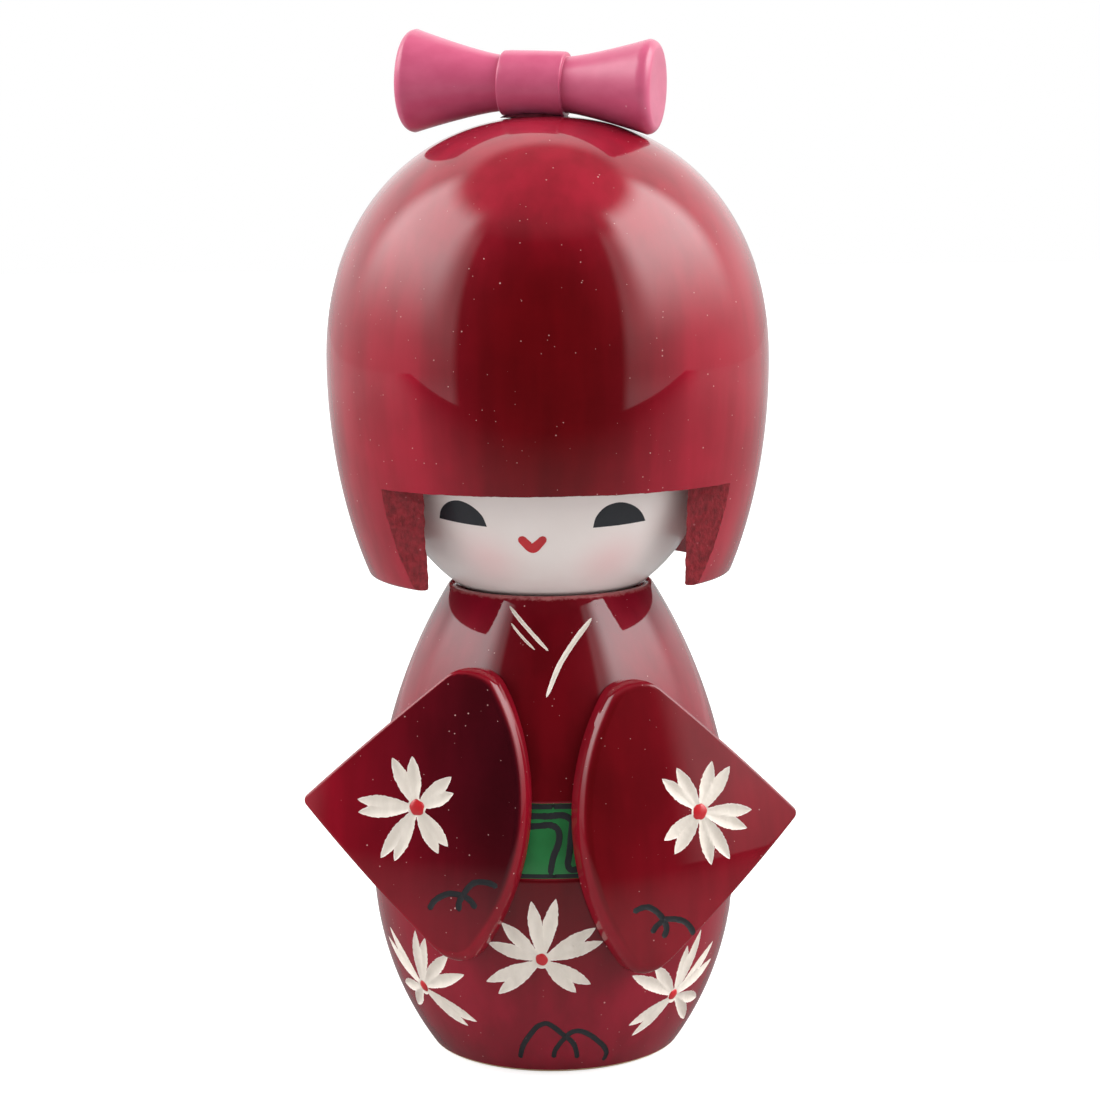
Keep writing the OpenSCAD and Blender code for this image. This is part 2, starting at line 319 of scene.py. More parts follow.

# %% [markdown]
# ## Red lacquer
# On the real doll this is a dark red stain under thick clear lacquer. The stain gives the deep
# colour, and the lacquer gives a sharp mirror on top. One Principled shader does both: its base
# is the stain, with hardly any gloss of its own, and its coat is the lacquer. The base is mixed by
# facing, deep straight on and brighter at a glancing angle: that brightening is a painted sheen.
# Coarse dust is a pale speck that also bumps the coat, fine dust only pales it.

# %% Lacquer
def lacquer(name, deep, rim, sheen_turns_at, dust_share=0.35):
    """Stained wood under clear lacquer, with a painted sheen: deep seen straight on, brighter at a glancing
    angle.
    """
    material, tree = new_material(name)
    facing = place(tree, "ShaderNodeLayerWeight", Blend=0.5).outputs["Facing"]
    # Painted sheen: the base turns from the deep colour to the brighter rim colour toward a glancing angle
    colour = mix(tree, fade(tree, facing, 0.0, sheen_turns_at), (*deep, 1), (*rim, 1))
    grain = use(tree, streaks, Across=330, Along=34, Clouds=95)
    uneven = mix(tree, grain.outputs[0], (0.84, 0.8, 0.8, 1), (1.16, 1.2, 1.2, 1))
    colour = mix(tree, 1.0, colour, uneven, "MULTIPLY")
    specks = use(tree, dust, Spacing=560, Size=0.052, Share=dust_share)
    worn_and_lit_edge = use(tree, wear_and_highlight, Reach=0.25, Breakup=1500)
    fine_specks = use(tree, dust, Spacing=1300, Size=0.1, Share=0.28)
    # Along the collar's rim the lacquer pales: wear, and a painted highlight on the rounded rim
    colour = mix(tree, maths(tree, "MULTIPLY", worn_and_lit_edge.outputs[0], 0.6), colour, (0.5, 0.16, 0.16, 1))
    for layer, strength in ((specks, 0.65), (fine_specks, 0.5)):
        colour = mix(tree, maths(tree, "MULTIPLY", layer.outputs[0], strength), colour, (0.85, 0.5, 0.47, 1))
    ripple = noise_at(tree, stretched(tree, 90.0, 60.0), 2.0)
    height = maths(tree, "ADD", maths(tree, "MULTIPLY", specks.outputs[1], 0.8),
                   maths(tree, "MULTIPLY", ripple, 0.3))
    normal = bumped(tree, height, 0.35)
    end_material(tree, place(tree, "ShaderNodeBsdfPrincipled", Base_Color=colour, Roughness=0.45,
                             Specular_IOR_Level=0.05, Coat_Weight=1.0, Coat_Roughness=0.035,
                             Normal=normal, Coat_Normal=normal))
    return material


robe_red = lacquer("red_robe_lacquer", (0.112, 0.001, 0.004), (0.24, 0.005, 0.018), 0.3)
# Both sleeves share one lacquer in two copies. The left one is painted darker seen straight on as painted
# shade, and brighter at a glancing angle
left_sleeve_red_shaded = lacquer("red_left_sleeve_lacquer_shaded", (0.04, 0.001, 0.004), (0.25, 0.003, 0.013), 0.12, 0.6)
right_sleeve_red = lacquer("red_right_sleeve_lacquer", (0.108, 0.001, 0.003), (0.21, 0.003, 0.011), 0.12, 0.6)
hair_red = lacquer("red_hair_lacquer", (0.12, 0.001, 0.003), (0.31, 0.006, 0.021), 0.25, 0.55)
print("lacquers:", [m.name for m in (robe_red, left_sleeve_red_shaded, right_sleeve_red, hair_red)])

# %% [markdown]
# ## Paints
# The petals, the black lines, the sash, the dots, the eyes and the bow are brushed on. Brush
# paint is never even: it pools at edges, thins on ridges, and picks up dust. The pale band along a
# petal's edge is a painted highlight on the gouge's rim. Each paint is a base colour, a second
# colour that streaks and clouds bring in, and its own gloss. The dark bead of painted shade under
# the bow is made the same way.

# %% Brush paint
def paint(name, first, second, rough, coat=0.0, across=300, along=80, speck=0.3, speck_colour=None,
          edge_colour=None, bump_strength=0.25, spec=0.5):
    """A brushed paint: two tones, brush marks, specks, and an edge tint of worn, pooled paint that on the
    petals is a paler painted highlight.
    """
    material, tree = new_material(name)
    grain = use(tree, streaks, Across=across, Along=along, Clouds=150)
    colour = mix(tree, grain.outputs[0], (*first, 1), (*second, 1))
    specks = use(tree, dust, Spacing=520, Size=0.06, Share=speck)
    if edge_colour:
        # Edge tint: darker pooled paint on the lines and eyes, and on the petals a paler band that paints a
        # highlight
        worn_and_lit_edge = use(tree, wear_and_highlight, Reach=0.3, Breakup=1200)
        colour = mix(tree, worn_and_lit_edge.outputs[0], colour, (*edge_colour, 1))
    colour = mix(tree, maths(tree, "MULTIPLY", specks.outputs[0], 0.5), colour, (*(speck_colour or first), 1))
    height = maths(tree, "ADD", maths(tree, "MULTIPLY", grain.outputs[0], 0.5), specks.outputs[1])
    end_material(tree, place(tree, "ShaderNodeBsdfPrincipled", Base_Color=colour, Roughness=rough,
                             Specular_IOR_Level=spec, Coat_Weight=coat, Coat_Roughness=0.05,
                             Normal=bumped(tree, height, bump_strength)))
    return material


# The petals' pale edge colour is a painted highlight along the gouge's rim
petal_paint = paint("petal_paint", (0.85, 0.775, 0.69), (0.73, 0.66, 0.58), 0.5, 0.2, 900, 300, 0.35,
                    (0.5, 0.28, 0.24), (0.95, 0.86, 0.82))
line_paint = paint("line_paint", (0.017, 0.018, 0.021), (0.025, 0.026, 0.03), 0.55, 0.12, 500, 200, 0.4,
                   (0.25, 0.2, 0.2), (0.012, 0.01, 0.012), 0.2, 0.35)
# A near black red: painted shade under the bow's knot
bow_shade_paint = paint("bow_shade_paint", (0.035, 0.004, 0.006), (0.07, 0.012, 0.012), 0.3, 0.6, 700, 700, 0.5,
                  (0.6, 0.4, 0.38))
eye_paint = paint("eye_paint", (0.022, 0.025, 0.031), (0.03, 0.033, 0.04), 0.5, 0.3, 300, 120, 0.3,
                  (0.3, 0.22, 0.15), (0.015, 0.014, 0.018), 0.15, 0.35)
dot_paint = paint("dot_paint", (0.62, 0.012, 0.02), (0.48, 0.008, 0.015), 0.35, 0.5, 400, 400, 0.3,
                  (0.8, 0.3, 0.3))
obi_paint = paint("obi_paint", (0.010, 0.125, 0.028), (0.018, 0.20, 0.05), 0.3, 0.8, 250, 250, 0.4,
                  (0.2, 0.35, 0.2))
bow_paint = paint("pink_bow_paint", (0.65, 0.115, 0.225), (0.58, 0.085, 0.185), 0.36, 0.3, 260, 500, 0.45,
                  (0.9, 0.55, 0.6), (0.80, 0.2, 0.32))
brushed = (petal_paint, line_paint, bow_shade_paint, eye_paint, dot_paint, obi_paint, bow_paint)
print("paints:", [m.name for m in brushed])

# %% [markdown]
# ## Bare wood
# The underside and the dowels are left as they came off the lathe: pale wood, a long grain that
# is darker where the growth was slow, and no gloss.

# %% Bare wood
bare_wood, tree = new_material("bare_birch")
grain = use(tree, streaks, Across=900, Along=40, Clouds=120)
wood_colour = mix(tree, grain.outputs[0], (0.62, 0.42, 0.24, 1), (0.74, 0.56, 0.36, 1))
end_material(tree, place(tree, "ShaderNodeBsdfPrincipled", Base_Color=wood_colour, Roughness=0.65,
                         Normal=bumped(tree, grain.outputs[0], 0.4)))
print("bare wood:", bare_wood.name)

# %% [markdown]
# ## Turned skins with carving
# A turned part is a profile swept round an axis. To carve it, its skin is first drawn flat, as
# if unrolled: across is the way round, up is the way along the profile. On that flat map every
# gouge stroke is an outline with a middle line. A Delaunay triangulation takes the map, with the
# outlines and middle lines as fixed edges, so the carving has crisp edges with few triangles.
# Then each point is put back on the round form and sunk by the depth of the gouge there.
# A Boolean cut would do as well, but its long thin faces shade badly under a mirror finish.

# %% A gouge stroke
# axis: the middle line on the flat map; half: its half width at each point of the line
Stroke = namedtuple("Stroke", "axis half depth finish")
CUT_STEP, RAGGED = 0.28, 0.07


def curve_through(points, step):
    """A smooth line through given points, with a new point about every step."""
    p = np.array(points, float)
    gap = np.linalg.norm(np.diff(p, axis=0), axis=1)
    slope = np.diff(p, axis=0) / gap[:, None]
    tangent = np.vstack([slope[:1], slope[-1:]]) if len(p) == 2 else np.vstack([
        slope[:1], (slope[:-1] * gap[1:, None] + slope[1:] * gap[:-1, None]) / (gap[:-1] + gap[1:])[:, None],
        slope[-1:]])
    out = [p[:1]]
    for i, length in enumerate(gap):
        t = np.linspace(0, 1, max(2, int(math.ceil(length / step)) + 1))[1:, None]
        out.append((2 * t**3 - 3 * t**2 + 1) * p[i] + (t**3 - 2 * t**2 + t) * length * tangent[i]
                   + (3 * t**2 - 2 * t**3) * p[i + 1] + (t**3 - t**2) * length * tangent[i + 1])
    return np.vstack(out)


def ragged(count, seed):
    """Small uneven steps, as a blade leaves in hard wood."""
    return 1 + RAGGED * np.random.default_rng(seed).uniform(-1, 1, count)


def line_stroke(points, width, depth, finish, seed=1, taper=1.2):
    """A drawn line. Each end narrows over taper times the width, to a round end or a point."""
    axis = curve_through(points, CUT_STEP)
    run = np.concatenate([[0], np.cumsum(np.linalg.norm(np.diff(axis, axis=0), axis=1))])
    from_end = np.clip(np.minimum(run, run[-1] - run) / (taper * width), 0, 1)
    half = width / 2 * np.sqrt(1 - (1 - from_end) ** 2)
    return Stroke(axis, half * ragged(len(axis), seed), depth, finish)


LOBE_HALF, LOBE_STEP, GOUGE_DEPTH = 0.86, 0.2, 0.42


def lobe(centre, tip, seed):
    """One push of the gouge, from a flower's middle to a pointed tip."""
    centre, tip = np.array(centre, float), np.array(tip, float)
    count = int(np.linalg.norm(tip - centre) / LOBE_STEP)
    s = np.linspace(0, 1, count)
    axis = centre + (tip - centre) * s[:, None]
    half = LOBE_HALF * np.sin(math.pi * (0.04 + 0.96 * s) ** 1.25) ** 0.8
    return Stroke(axis, np.maximum(half * ragged(count, seed), 0.0), GOUGE_DEPTH, "petal")


def disc_stroke(centre, radius, depth):
    """A round dish, for the middle of a flower."""
    axis = np.array(centre, float) + np.array([[-0.02, 0], [0.02, 0]])
    return Stroke(axis, np.array([radius, radius]), depth, "petal")


def outline(stroke):
    """The closed edge of a stroke."""
    if len(stroke.axis) == 2:
        a = np.linspace(0, 2 * math.pi, 24, endpoint=False)
        return stroke.axis.mean(axis=0) + stroke.half[0] * np.column_stack([np.cos(a), np.sin(a)])
    along = np.gradient(stroke.axis, axis=0)
    along /= np.linalg.norm(along, axis=1)[:, None]
    sideways = np.column_stack([-along[:, 1], along[:, 0]]) * stroke.half[:, None]
    return np.vstack([stroke.axis[:1], (stroke.axis + sideways)[1:-1], stroke.axis[-1:],
                      (stroke.axis - sideways)[-2:0:-1]])


def measure(points, stroke):
    """Distance of each point to the stroke's middle line, and the half width there."""
    best = np.full(len(points), 1e9)
    half = np.zeros(len(points))
    for a, b, wa, wb in zip(stroke.axis[:-1], stroke.axis[1:], stroke.half[:-1], stroke.half[1:]):
        step = b - a
        t = np.clip(((points - a) @ step) / (step @ step), 0, 1)
        distance = np.linalg.norm(points - a - t[:, None] * step, axis=1)
        closer = distance < best
        best = np.where(closer, distance, best)
        half = np.where(closer, wa + (wb - wa) * t, half)
    return best, half


def near(points, stroke, margin):
    """Which points lie in the stroke's own box, widened by a margin."""
    low = stroke.axis.min(axis=0) - stroke.half.max() - margin
    high = stroke.axis.max(axis=0) + stroke.half.max() + margin
    return np.flatnonzero(np.all((points > low) & (points < high), axis=1))


def carving(points, strokes):
    """For each point: how deep the carving is, which finish is there, and the gap to the nearest stroke."""
    depth = np.zeros(len(points))
    gap = np.full(len(points), 9.0)
    which = np.full(len(points), -1)
    for index, stroke in enumerate(strokes):
        at = near(points, stroke, 1.0)
        if not len(at):
            continue
        distance, half = measure(points[at], stroke)
        gap[at] = np.minimum(gap[at], distance - half)
        ratio = np.clip(distance / np.maximum(half, 1e-4), 0, 1)
        sunk = stroke.depth * (half / stroke.half.max()) * (1 - ratio**2) ** 0.8
        deeper = (ratio < 1) & (sunk >= depth[at])
        which[at[deeper]] = index
        depth[at] = np.maximum(depth[at], sunk)
    return depth, which, gap


print("a gouge cut is", GOUGE_DEPTH, "mm deep and", 2 * LOBE_HALF, "mm wide")


# %% Triangulate a flat map with its strokes
# The mesh step inside a stroke, and how far the coarse grid stays from one
FINE, CLEAR = 0.24, 0.2


def flat_map(border, grid, strokes):
    """Triangles over a flat shape. The border, the strokes' outlines and middle lines are edges."""
    points, edges = [np.array(border, float)], []
    count = len(border)
    edges += [(i, (i + 1) % count) for i in range(count)]
    for stroke in strokes:
        rim = outline(stroke)
        edges += [(count + i, count + (i + 1) % len(rim)) for i in range(len(rim))]
        points.append(rim)
        count += len(rim)
        if len(stroke.axis) > 2:
            inner = stroke.axis[1:-1]
            edges += [(count + i, count + i + 1) for i in range(len(inner) - 1)]
            points.append(inner)
            count += len(inner)
    _, _, gap = carving(grid, strokes)
    points.append(grid[gap > CLEAR])
    for stroke in strokes:
        low, high = stroke.axis.min(axis=0) - 1, stroke.axis.max(axis=0) + 1
        xs, ys = np.meshgrid(np.arange(low[0], high[0], FINE), np.arange(low[1], high[1], FINE))
        fine = np.column_stack([xs.ravel(), ys.ravel()])
        distance, half = measure(fine, stroke)
        points.append(np.round(fine[(distance < half - 0.1) & (distance > 0.1)] / FINE) * FINE)
    every = np.vstack(points)
    made = delaunay_2d_cdt([Vector(p) for p in every], edges, [], 1, 1e-4)
    flat = np.array([tuple(v) for v in made[0]])
    faces = np.array([f for f in made[2] if len(f) == 3])
    a, b, c = (flat[faces[:, i]] for i in range(3))
    area = (b[:, 0] - a[:, 0]) * (c[:, 1] - a[:, 1]) - (b[:, 1] - a[:, 1]) * (c[:, 0] - a[:, 0])
    faces[area < 0] = faces[area < 0][:, ::-1]
    return flat, faces[np.abs(area) > 1e-9]


# %% [markdown]
# ## Gathering faces into one mesh
# A piece is put together from several stretches: the carved skin, a rim, a base. Each stretch
# brings its own exact normals, because a mirror finish shows every wrong one. They are kept on
# the face corners while the seams are welded, and then become the mesh's custom normals.

# %% Skin collector
def creased(points, faces, angle):
    """Corner normals that are smooth, except across edges sharper than the angle."""
    a, b, c = (points[faces[:, i]] for i in range(3))
    weighted = np.cross(b - a, c - a)
    unit = weighted / np.maximum(np.linalg.norm(weighted, axis=1), 1e-12)[:, None]
    around = [[] for _ in points]
    for index, face in enumerate(faces):
        for corner in face:
            around[corner].append(index)
    least = math.cos(math.radians(angle))
    out = np.zeros((len(faces), 3, 3))
    for index, face in enumerate(faces):
        for k, corner in enumerate(face):
            ring = np.array(around[corner])
            total = weighted[ring[unit[ring] @ unit[index] > least]].sum(axis=0)
            out[index, k] = total / max(np.linalg.norm(total), 1e-12)
    return out


class Skin:
    """Faces with a finish, an edge mask and a normal at each corner."""

    def __init__(self, name, finishes):
        self.name, self.finishes = name, finishes
        self.points, self.faces, self.finish, self.normals, self.edges = [], [], [], [], []
        self.count = 0

    def add(self, points, faces, finish, normals, edge=None):
        """points in mm, faces as index rows, finish one name or one per face, normals per corner."""
        names = [finish] * len(faces) if isinstance(finish, str) else finish
        self.points.append(np.asarray(points, float))
        corners = sum(len(face) for face in faces)
        self.edges.append(np.zeros(corners) if edge is None else np.asarray(edge, float).ravel())
        self.faces += [[int(i) + self.count for i in face] for face in faces]
        self.finish += [list(self.finishes).index(n) for n in names]
        self.normals.append(np.asarray(normals, float).reshape(-1, 3))
        self.count += len(points)

    def build(self, frame_matrix=Matrix.Identity(4)):
        """Makes the object, welds the seams and sets the normals. The matrix places it, in mm."""
        place_at = np.array(frame_matrix)
        mirrored = np.linalg.det(place_at[:3, :3]) < 0
        points = np.vstack(self.points) @ place_at[:3, :3].T + place_at[:3, 3]
        normals = np.vstack(self.normals) @ place_at[:3, :3].T
        mesh = bpy.data.meshes.new(self.name)
        mesh.from_pydata((points * MM).tolist(), [], self.faces)
        for finish in self.finishes.values():
            mesh.materials.append(finish)
        mesh.polygons.foreach_set("material_index", self.finish)
        kept = mesh.attributes.new("wanted", "FLOAT_VECTOR", "CORNER")
        kept.data.foreach_set("vector", normals.astype(np.float32).ravel())
        edge = mesh.attributes.new("edge", "FLOAT", "CORNER")
        edge.data.foreach_set("value", np.concatenate(self.edges).astype(np.float32))
        work = bmesh.new()
        work.from_mesh(mesh)
        bmesh.ops.remove_doubles(work, verts=work.verts, dist=2e-6)
        bmesh.ops.dissolve_degenerate(work, edges=work.edges, dist=1e-7)
        if mirrored:
            bmesh.ops.reverse_faces(work, faces=work.faces)
        work.to_mesh(mesh)
        work.free()
        return finish_mesh(mesh)


def finish_mesh(mesh):
    """Turns the kept corner normals into the mesh's own, and links an object for it."""
    kept = np.zeros(len(mesh.loops) * 3, np.float32)
    mesh.attributes["wanted"].data.foreach_get("vector", kept)
    mesh.attributes.remove(mesh.attributes["wanted"])
    mesh.polygons.foreach_set("use_smooth", [True] * len(mesh.polygons))
    wanted = kept.reshape(-1, 3)
    length = np.linalg.norm(wanted, axis=1)
    wanted[length < 0.5] = 0
    mesh.normals_split_custom_set(wanted.tolist())
    made = bpy.data.objects.new(mesh.name, mesh)
    bpy.context.scene.collection.objects.link(made)
    print(f"{mesh.name}: {len(mesh.vertices)} points, {len(mesh.polygons)} faces")
    return made


# %% [markdown]
# ## Profiles
# A turned profile is a line of radius and height, swept round Z. The side curves follow the same
# formulas as the CAD part, with many more points, so that no facets show in the gloss. Reading
# the profile off the CAD mesh would be shorter, but its rings are too far apart for a mirror.

# %% Profile tools
COLUMNS = 200


def arc(cx, cy, r, start, end, count):
    a = np.radians(np.linspace(start, end, count))
    return np.column_stack([cx + r * np.cos(a), cy + r * np.sin(a)])


def rounded(corners, radii, steps=5):
    """A line through corners with each inner corner rounded by an arc-like curve."""
    out = [np.array(corners[0], float)]
    for i in range(1, len(corners) - 1):
        a, b, c = (np.array(corners[j], float) for j in (i - 1, i, i + 1))
        reach = min(radii[i - 1], 0.49 * np.linalg.norm(b - a), 0.49 * np.linalg.norm(c - b))
        start = b + (a - b) / np.linalg.norm(a - b) * reach
        end = b + (c - b) / np.linalg.norm(c - b) * reach
        for t in np.linspace(0, 1, steps):
            out.append((1 - t) ** 2 * start + 2 * t * (1 - t) * b + t**2 * end)
    out.append(np.array(corners[-1], float))
    return np.array(out)


def profile_normals(profile):
    """Outward normals of a profile that runs with the solid on its left."""
    step = np.diff(profile, axis=0)
    step /= np.maximum(np.linalg.norm(step, axis=1), 1e-9)[:, None]
    along = np.vstack([step[:1], step[:-1] + step[1:], step[-1:]])
    along /= np.maximum(np.linalg.norm(along, axis=1), 1e-9)[:, None]
    return np.column_stack([along[:, 1], -along[:, 0]])


def lathe(profile, columns=COLUMNS):
    """Points, faces and corner normals of a profile of (radius, height) swept round Z."""
    profile = np.array(profile, float)
    normal = profile_normals(profile)
    angle = np.linspace(-math.pi, math.pi, columns, endpoint=False)
    way = np.column_stack([np.sin(angle), -np.cos(angle)])
    points = np.array([(*(r * w), z) for r, z in profile for w in way])
    arrows = np.array([(*(nr * w), nz) for nr, nz in normal for w in way])
    faces = []
    for i in range(len(profile) - 1):
        for j in range(columns):
            k = (j + 1) % columns
            faces.append((i * columns + j, i * columns + k, (i + 1) * columns + k, (i + 1) * columns + j))
    corner = np.array([arrows[list(face)] for face in faces])
    return points, faces, corner


print("a turning has", COLUMNS, "columns")

# %% [markdown]
# ## Robe: the profile
# The robe body is one turning: a narrow foot, a full belly, sloping shoulders, and a collar that
# is dished so that the ball can sit in it. A shallow groove round the waist holds the sash paint.
# The foot and the collar edge are softened with sandpaper before lacquer goes on.

# %% The robe's profile
OBI_LOW_Z, OBI_HIGH_Z, OBI_DEPTH = 26.3, 35.3, 0.3
HEAD_R, HEAD_Z, SEAT_GAP = 19.9, 74.8, 0.25
LAND_Z, COLLAR_Z, BORE_R, BORE_LOW_Z = 55.3, 58.6, 2.5, 41.5
BELLY_R, BELLY_Z, SKIRT_ARC_R, SHOULDER_ARC_R, FOOT_ROUND = 22.8, 23.0, 40.0, 67.5, 0.8


def robe_radius(z):
    """Radius of the robe at a height: one arc below the belly and a flatter one above it."""
    r = np.where(z < BELLY_Z, SKIRT_ARC_R, SHOULDER_ARC_R)
    return BELLY_R - r + np.sqrt(r**2 - (z - BELLY_Z) ** 2)


foot_x = BELLY_R - SKIRT_ARC_R + math.sqrt((SKIRT_ARC_R - FOOT_ROUND) ** 2 - (BELLY_Z - FOOT_ROUND) ** 2)
foot_angle = math.degrees(math.atan2(FOOT_ROUND - BELLY_Z, foot_x - BELLY_R + SKIRT_ARC_R))
foot = arc(foot_x, FOOT_ROUND, FOOT_ROUND, -90, foot_angle, 7)

# A groove edge climbs over twice STEP_HALF, and its rounding ends within STEP_REACH
STEP_HALF, STEP_REACH = 0.07, 0.5


def step_at(z, rise):
    """The sash groove's edge: rise is -1 where the groove starts and 1 where it ends."""
    into = OBI_DEPTH if rise < 0 else 0
    out = OBI_DEPTH - into
    heights = (z - STEP_REACH, z - STEP_HALF, z + STEP_HALF, z + STEP_REACH)
    sunk = (out, out, into, into)
    return rounded([(robe_radius(h) - s, h) for h, s in zip(heights, sunk)], (0.16, 0.16), 4)


SIDE_STEP = 0.75


def side_between(low, high, sunk=0.0):
    """The robe's side between two heights, without its two end points."""
    heights = np.linspace(low, high, max(2, int((high - low) / SIDE_STEP)))[1:-1]
    return np.column_stack([robe_radius(heights) - sunk, heights])


COLLAR_SOFT = 0.6
robe_skin = np.vstack([
    [foot[-1]], side_between(foot[-1][1], OBI_LOW_Z - STEP_REACH), step_at(OBI_LOW_Z, -1),
    side_between(OBI_LOW_Z + STEP_REACH, OBI_HIGH_Z - STEP_REACH, OBI_DEPTH), step_at(OBI_HIGH_Z, 1),
    side_between(OBI_HIGH_Z + STEP_REACH, COLLAR_Z - COLLAR_SOFT),
    [(robe_radius(COLLAR_Z - COLLAR_SOFT), COLLAR_Z - COLLAR_SOFT)]])
seat_r = HEAD_R + SEAT_GAP
dish = [(math.sqrt(seat_r**2 - (HEAD_Z - z) ** 2), z) for z in np.linspace(COLLAR_Z, LAND_Z, 12)]
# The collar's rim, the dish that the ball sits in, and the bore for the neck dowel
collar = np.vstack([rounded([robe_skin[-1], (robe_radius(COLLAR_Z), COLLAR_Z), dish[0], dish[1]],
                            (0.5, 0.35), 6), dish[2:],
                    [(BORE_R, LAND_Z), (BORE_R, BORE_LOW_Z), (0, BORE_LOW_Z)]])
# The flat base, with shallow rings that the turning tool left
BASE_RINGS = [(0, 0.0), (1.2, 0.0), (1.35, 0.08), (1.5, 0.0), (5.0, 0.0), (5.1, 0.05), (5.2, 0.0),
              (9.6, 0.0), (9.7, 0.05), (9.8, 0.0), (13.4, 0.0), (13.5, 0.06), (13.6, 0.0)]
base = np.vstack([BASE_RINGS, foot])
print("robe profile points:", len(base) + len(robe_skin) + len(collar))

# %% [markdown]
# ## The unrolled robe
# One small class knows how the flat map lies on the turned form. Everything that is drawn on the
# robe, carved or painted, uses it, so it all follows the curve.

# %% Round and plate surfaces
class Turned:
    """A turned surface and its flat map: across in mm at the widest radius, up along the profile."""

    def __init__(self, profile, unroll_r):
        self.profile, self.unroll_r = np.array(profile, float), unroll_r
        self.run = np.concatenate([[0], np.cumsum(np.linalg.norm(np.diff(self.profile, axis=0), axis=1))])
        self.normal = profile_normals(self.profile)

    def flat(self, azimuth, z):
        """Map place of a point given by its angle from the front in degrees and its height."""
        return math.radians(azimuth) * self.unroll_r, float(np.interp(z, self.profile[:, 1], self.run))

    def at(self, flat, sunk=0.0):
        """Points in space of flat points, sunk below the surface."""
        angle = flat[:, 0] / self.unroll_r
        r, z = (np.interp(flat[:, 1], self.run, self.profile[:, i]) for i in (0, 1))
        nr, nz = (np.interp(flat[:, 1], self.run, self.normal[:, i]) for i in (0, 1))
        r, z = r - nr * sunk, z - nz * sunk
        return np.column_stack([r * np.sin(angle), -r * np.cos(angle), z])

    def arrows(self, flat):
        """The surface's outward normals at flat points."""
        angle = flat[:, 0] / self.unroll_r
        nr, nz = (np.interp(flat[:, 1], self.run, self.normal[:, i]) for i in (0, 1))
        out = np.column_stack([nr * np.sin(angle), -nr * np.cos(angle), nz])
        return out / np.linalg.norm(out, axis=1)[:, None]

    def grid(self):
        """The map's border and its inner points, one row for each profile point."""
        across = np.linspace(-math.pi, math.pi, COLUMNS + 1) * self.unroll_r
        low = [(u, 0.0) for u in across]
        high = [(u, self.run[-1]) for u in across[::-1]]
        right = [(across[-1], v) for v in self.run[1:-1]]
        left = [(across[0], v) for v in self.run[-2:0:-1]]
        us, vs = np.meshgrid(across[1:-1], self.run[1:-1])
        return low + right + high + left, np.column_stack([us.ravel(), vs.ravel()])


# Normals inside a stroke break where its faces meet at more than this angle
CARVED_CREASE = 32
# The edge tint, worn paint and on petals a painted highlight, starts this far inside a stroke's edge
EDGE_BAND = 0.13


def carve(skin, surface, border, grid, strokes, base_finish):
    """Adds the surface with its carved strokes. base_finish names the finish at each flat point."""
    flat, faces = flat_map(border, grid, strokes)
    depth, _, gap = carving(flat, strokes)
    middle = flat[faces].mean(axis=1)
    _, which, _ = carving(middle, strokes)
    points = surface.at(flat, depth)
    whole = faces[which < 0]
    skin.add(points, whole, base_finish(middle[which < 0]), surface.arrows(flat)[whole])
    cut = faces[which >= 0]
    edge = np.clip(1 + gap / EDGE_BAND, 0, 1)
    finishes = [strokes[i].finish for i in which[which >= 0]]
    skin.add(points, cut, finishes, creased(points, cut, CARVED_CREASE), edge[cut])


# %% [markdown]
# ## Flowers and marks on the robe
# Each flower is five petals round a dot. A petal is two pushes of a V gouge side by side, each
# ending in a point. The rows of flowers go round the skirt, a high one and a low one by turns.
# Below them is a loose mark of two arcs and two legs, like grass, and at the collar three cream
# cuts are the folds of the neckline. Places are an angle from the front and a height.

# %% Flower and mark strokes
# Half the angle between a petal's two pushes, and the dish in the middle of a flower
PETAL_SPLIT, DISC_R, DISC_DEPTH = 10.5, 1.12, 0.22


def flower(centre, tips, seed):
    """A flower from its middle and the tips of its lobes, on the flat map."""
    lobes = [lobe(centre, tip, seed + i) for i, tip in enumerate(tips)]
    return lobes + [disc_stroke(centre, DISC_R, DISC_DEPTH)]


def spread(centre, directions, lengths):
    """Tips at the given directions in degrees, all round one centre."""
    return [(centre[0] + d * math.cos(math.radians(a)), centre[1] + d * math.sin(math.radians(a)))
            for a, d in zip(directions, lengths)]


def five_petals(turned_by, length, seed):
    """Directions and lengths of the ten lobes of a regular flower, slightly uneven."""
    vary = np.random.default_rng(seed)
    directions = [turned_by + 72 * k + way * PETAL_SPLIT for k in range(5) for way in (-1, 1)]
    swayed = [d + vary.uniform(-3, 3) for d in directions]
    return swayed, [length * vary.uniform(0.9, 1.1) for _ in directions]


robe_map = Turned(robe_skin, robe_radius(BELLY_Z))
# The three flowers in front: the middle, then the tip of each lobe
ROBE_FLOWERS = [
    ((-4.1, 16.3), [(-6.9, 23.7), (0.5, 24.0), (12.4, 20.2), (14.8, 18.4), (11.4, 12.9), (6.7, 11.9),
                    (-18.9, 11.5), (-22.6, 13.0), (-20.7, 18.2), (-16.1, 20.9)]),
    ((-51.7, 10.2), [(-66.4, 16.7), (-70.6, 15.0), (-49.2, 17.9), (-44.8, 17.3), (-35.7, 15.8),
                     (-30.5, 13.5), (-29.5, 7.0), (-34.1, 6.1), (-62.5, 6.7), (-66.9, 9.2)]),
    ((45.4, 9.2), [(47.0, 15.7), (53.3, 17.2), (63.5, 14.6), (66.1, 12.0), (64.8, 6.9), (62.5, 4.2),
                   (30.4, 4.6), (27.6, 6.3), (25.4, 13.4), (33.5, 14.2)]),
]
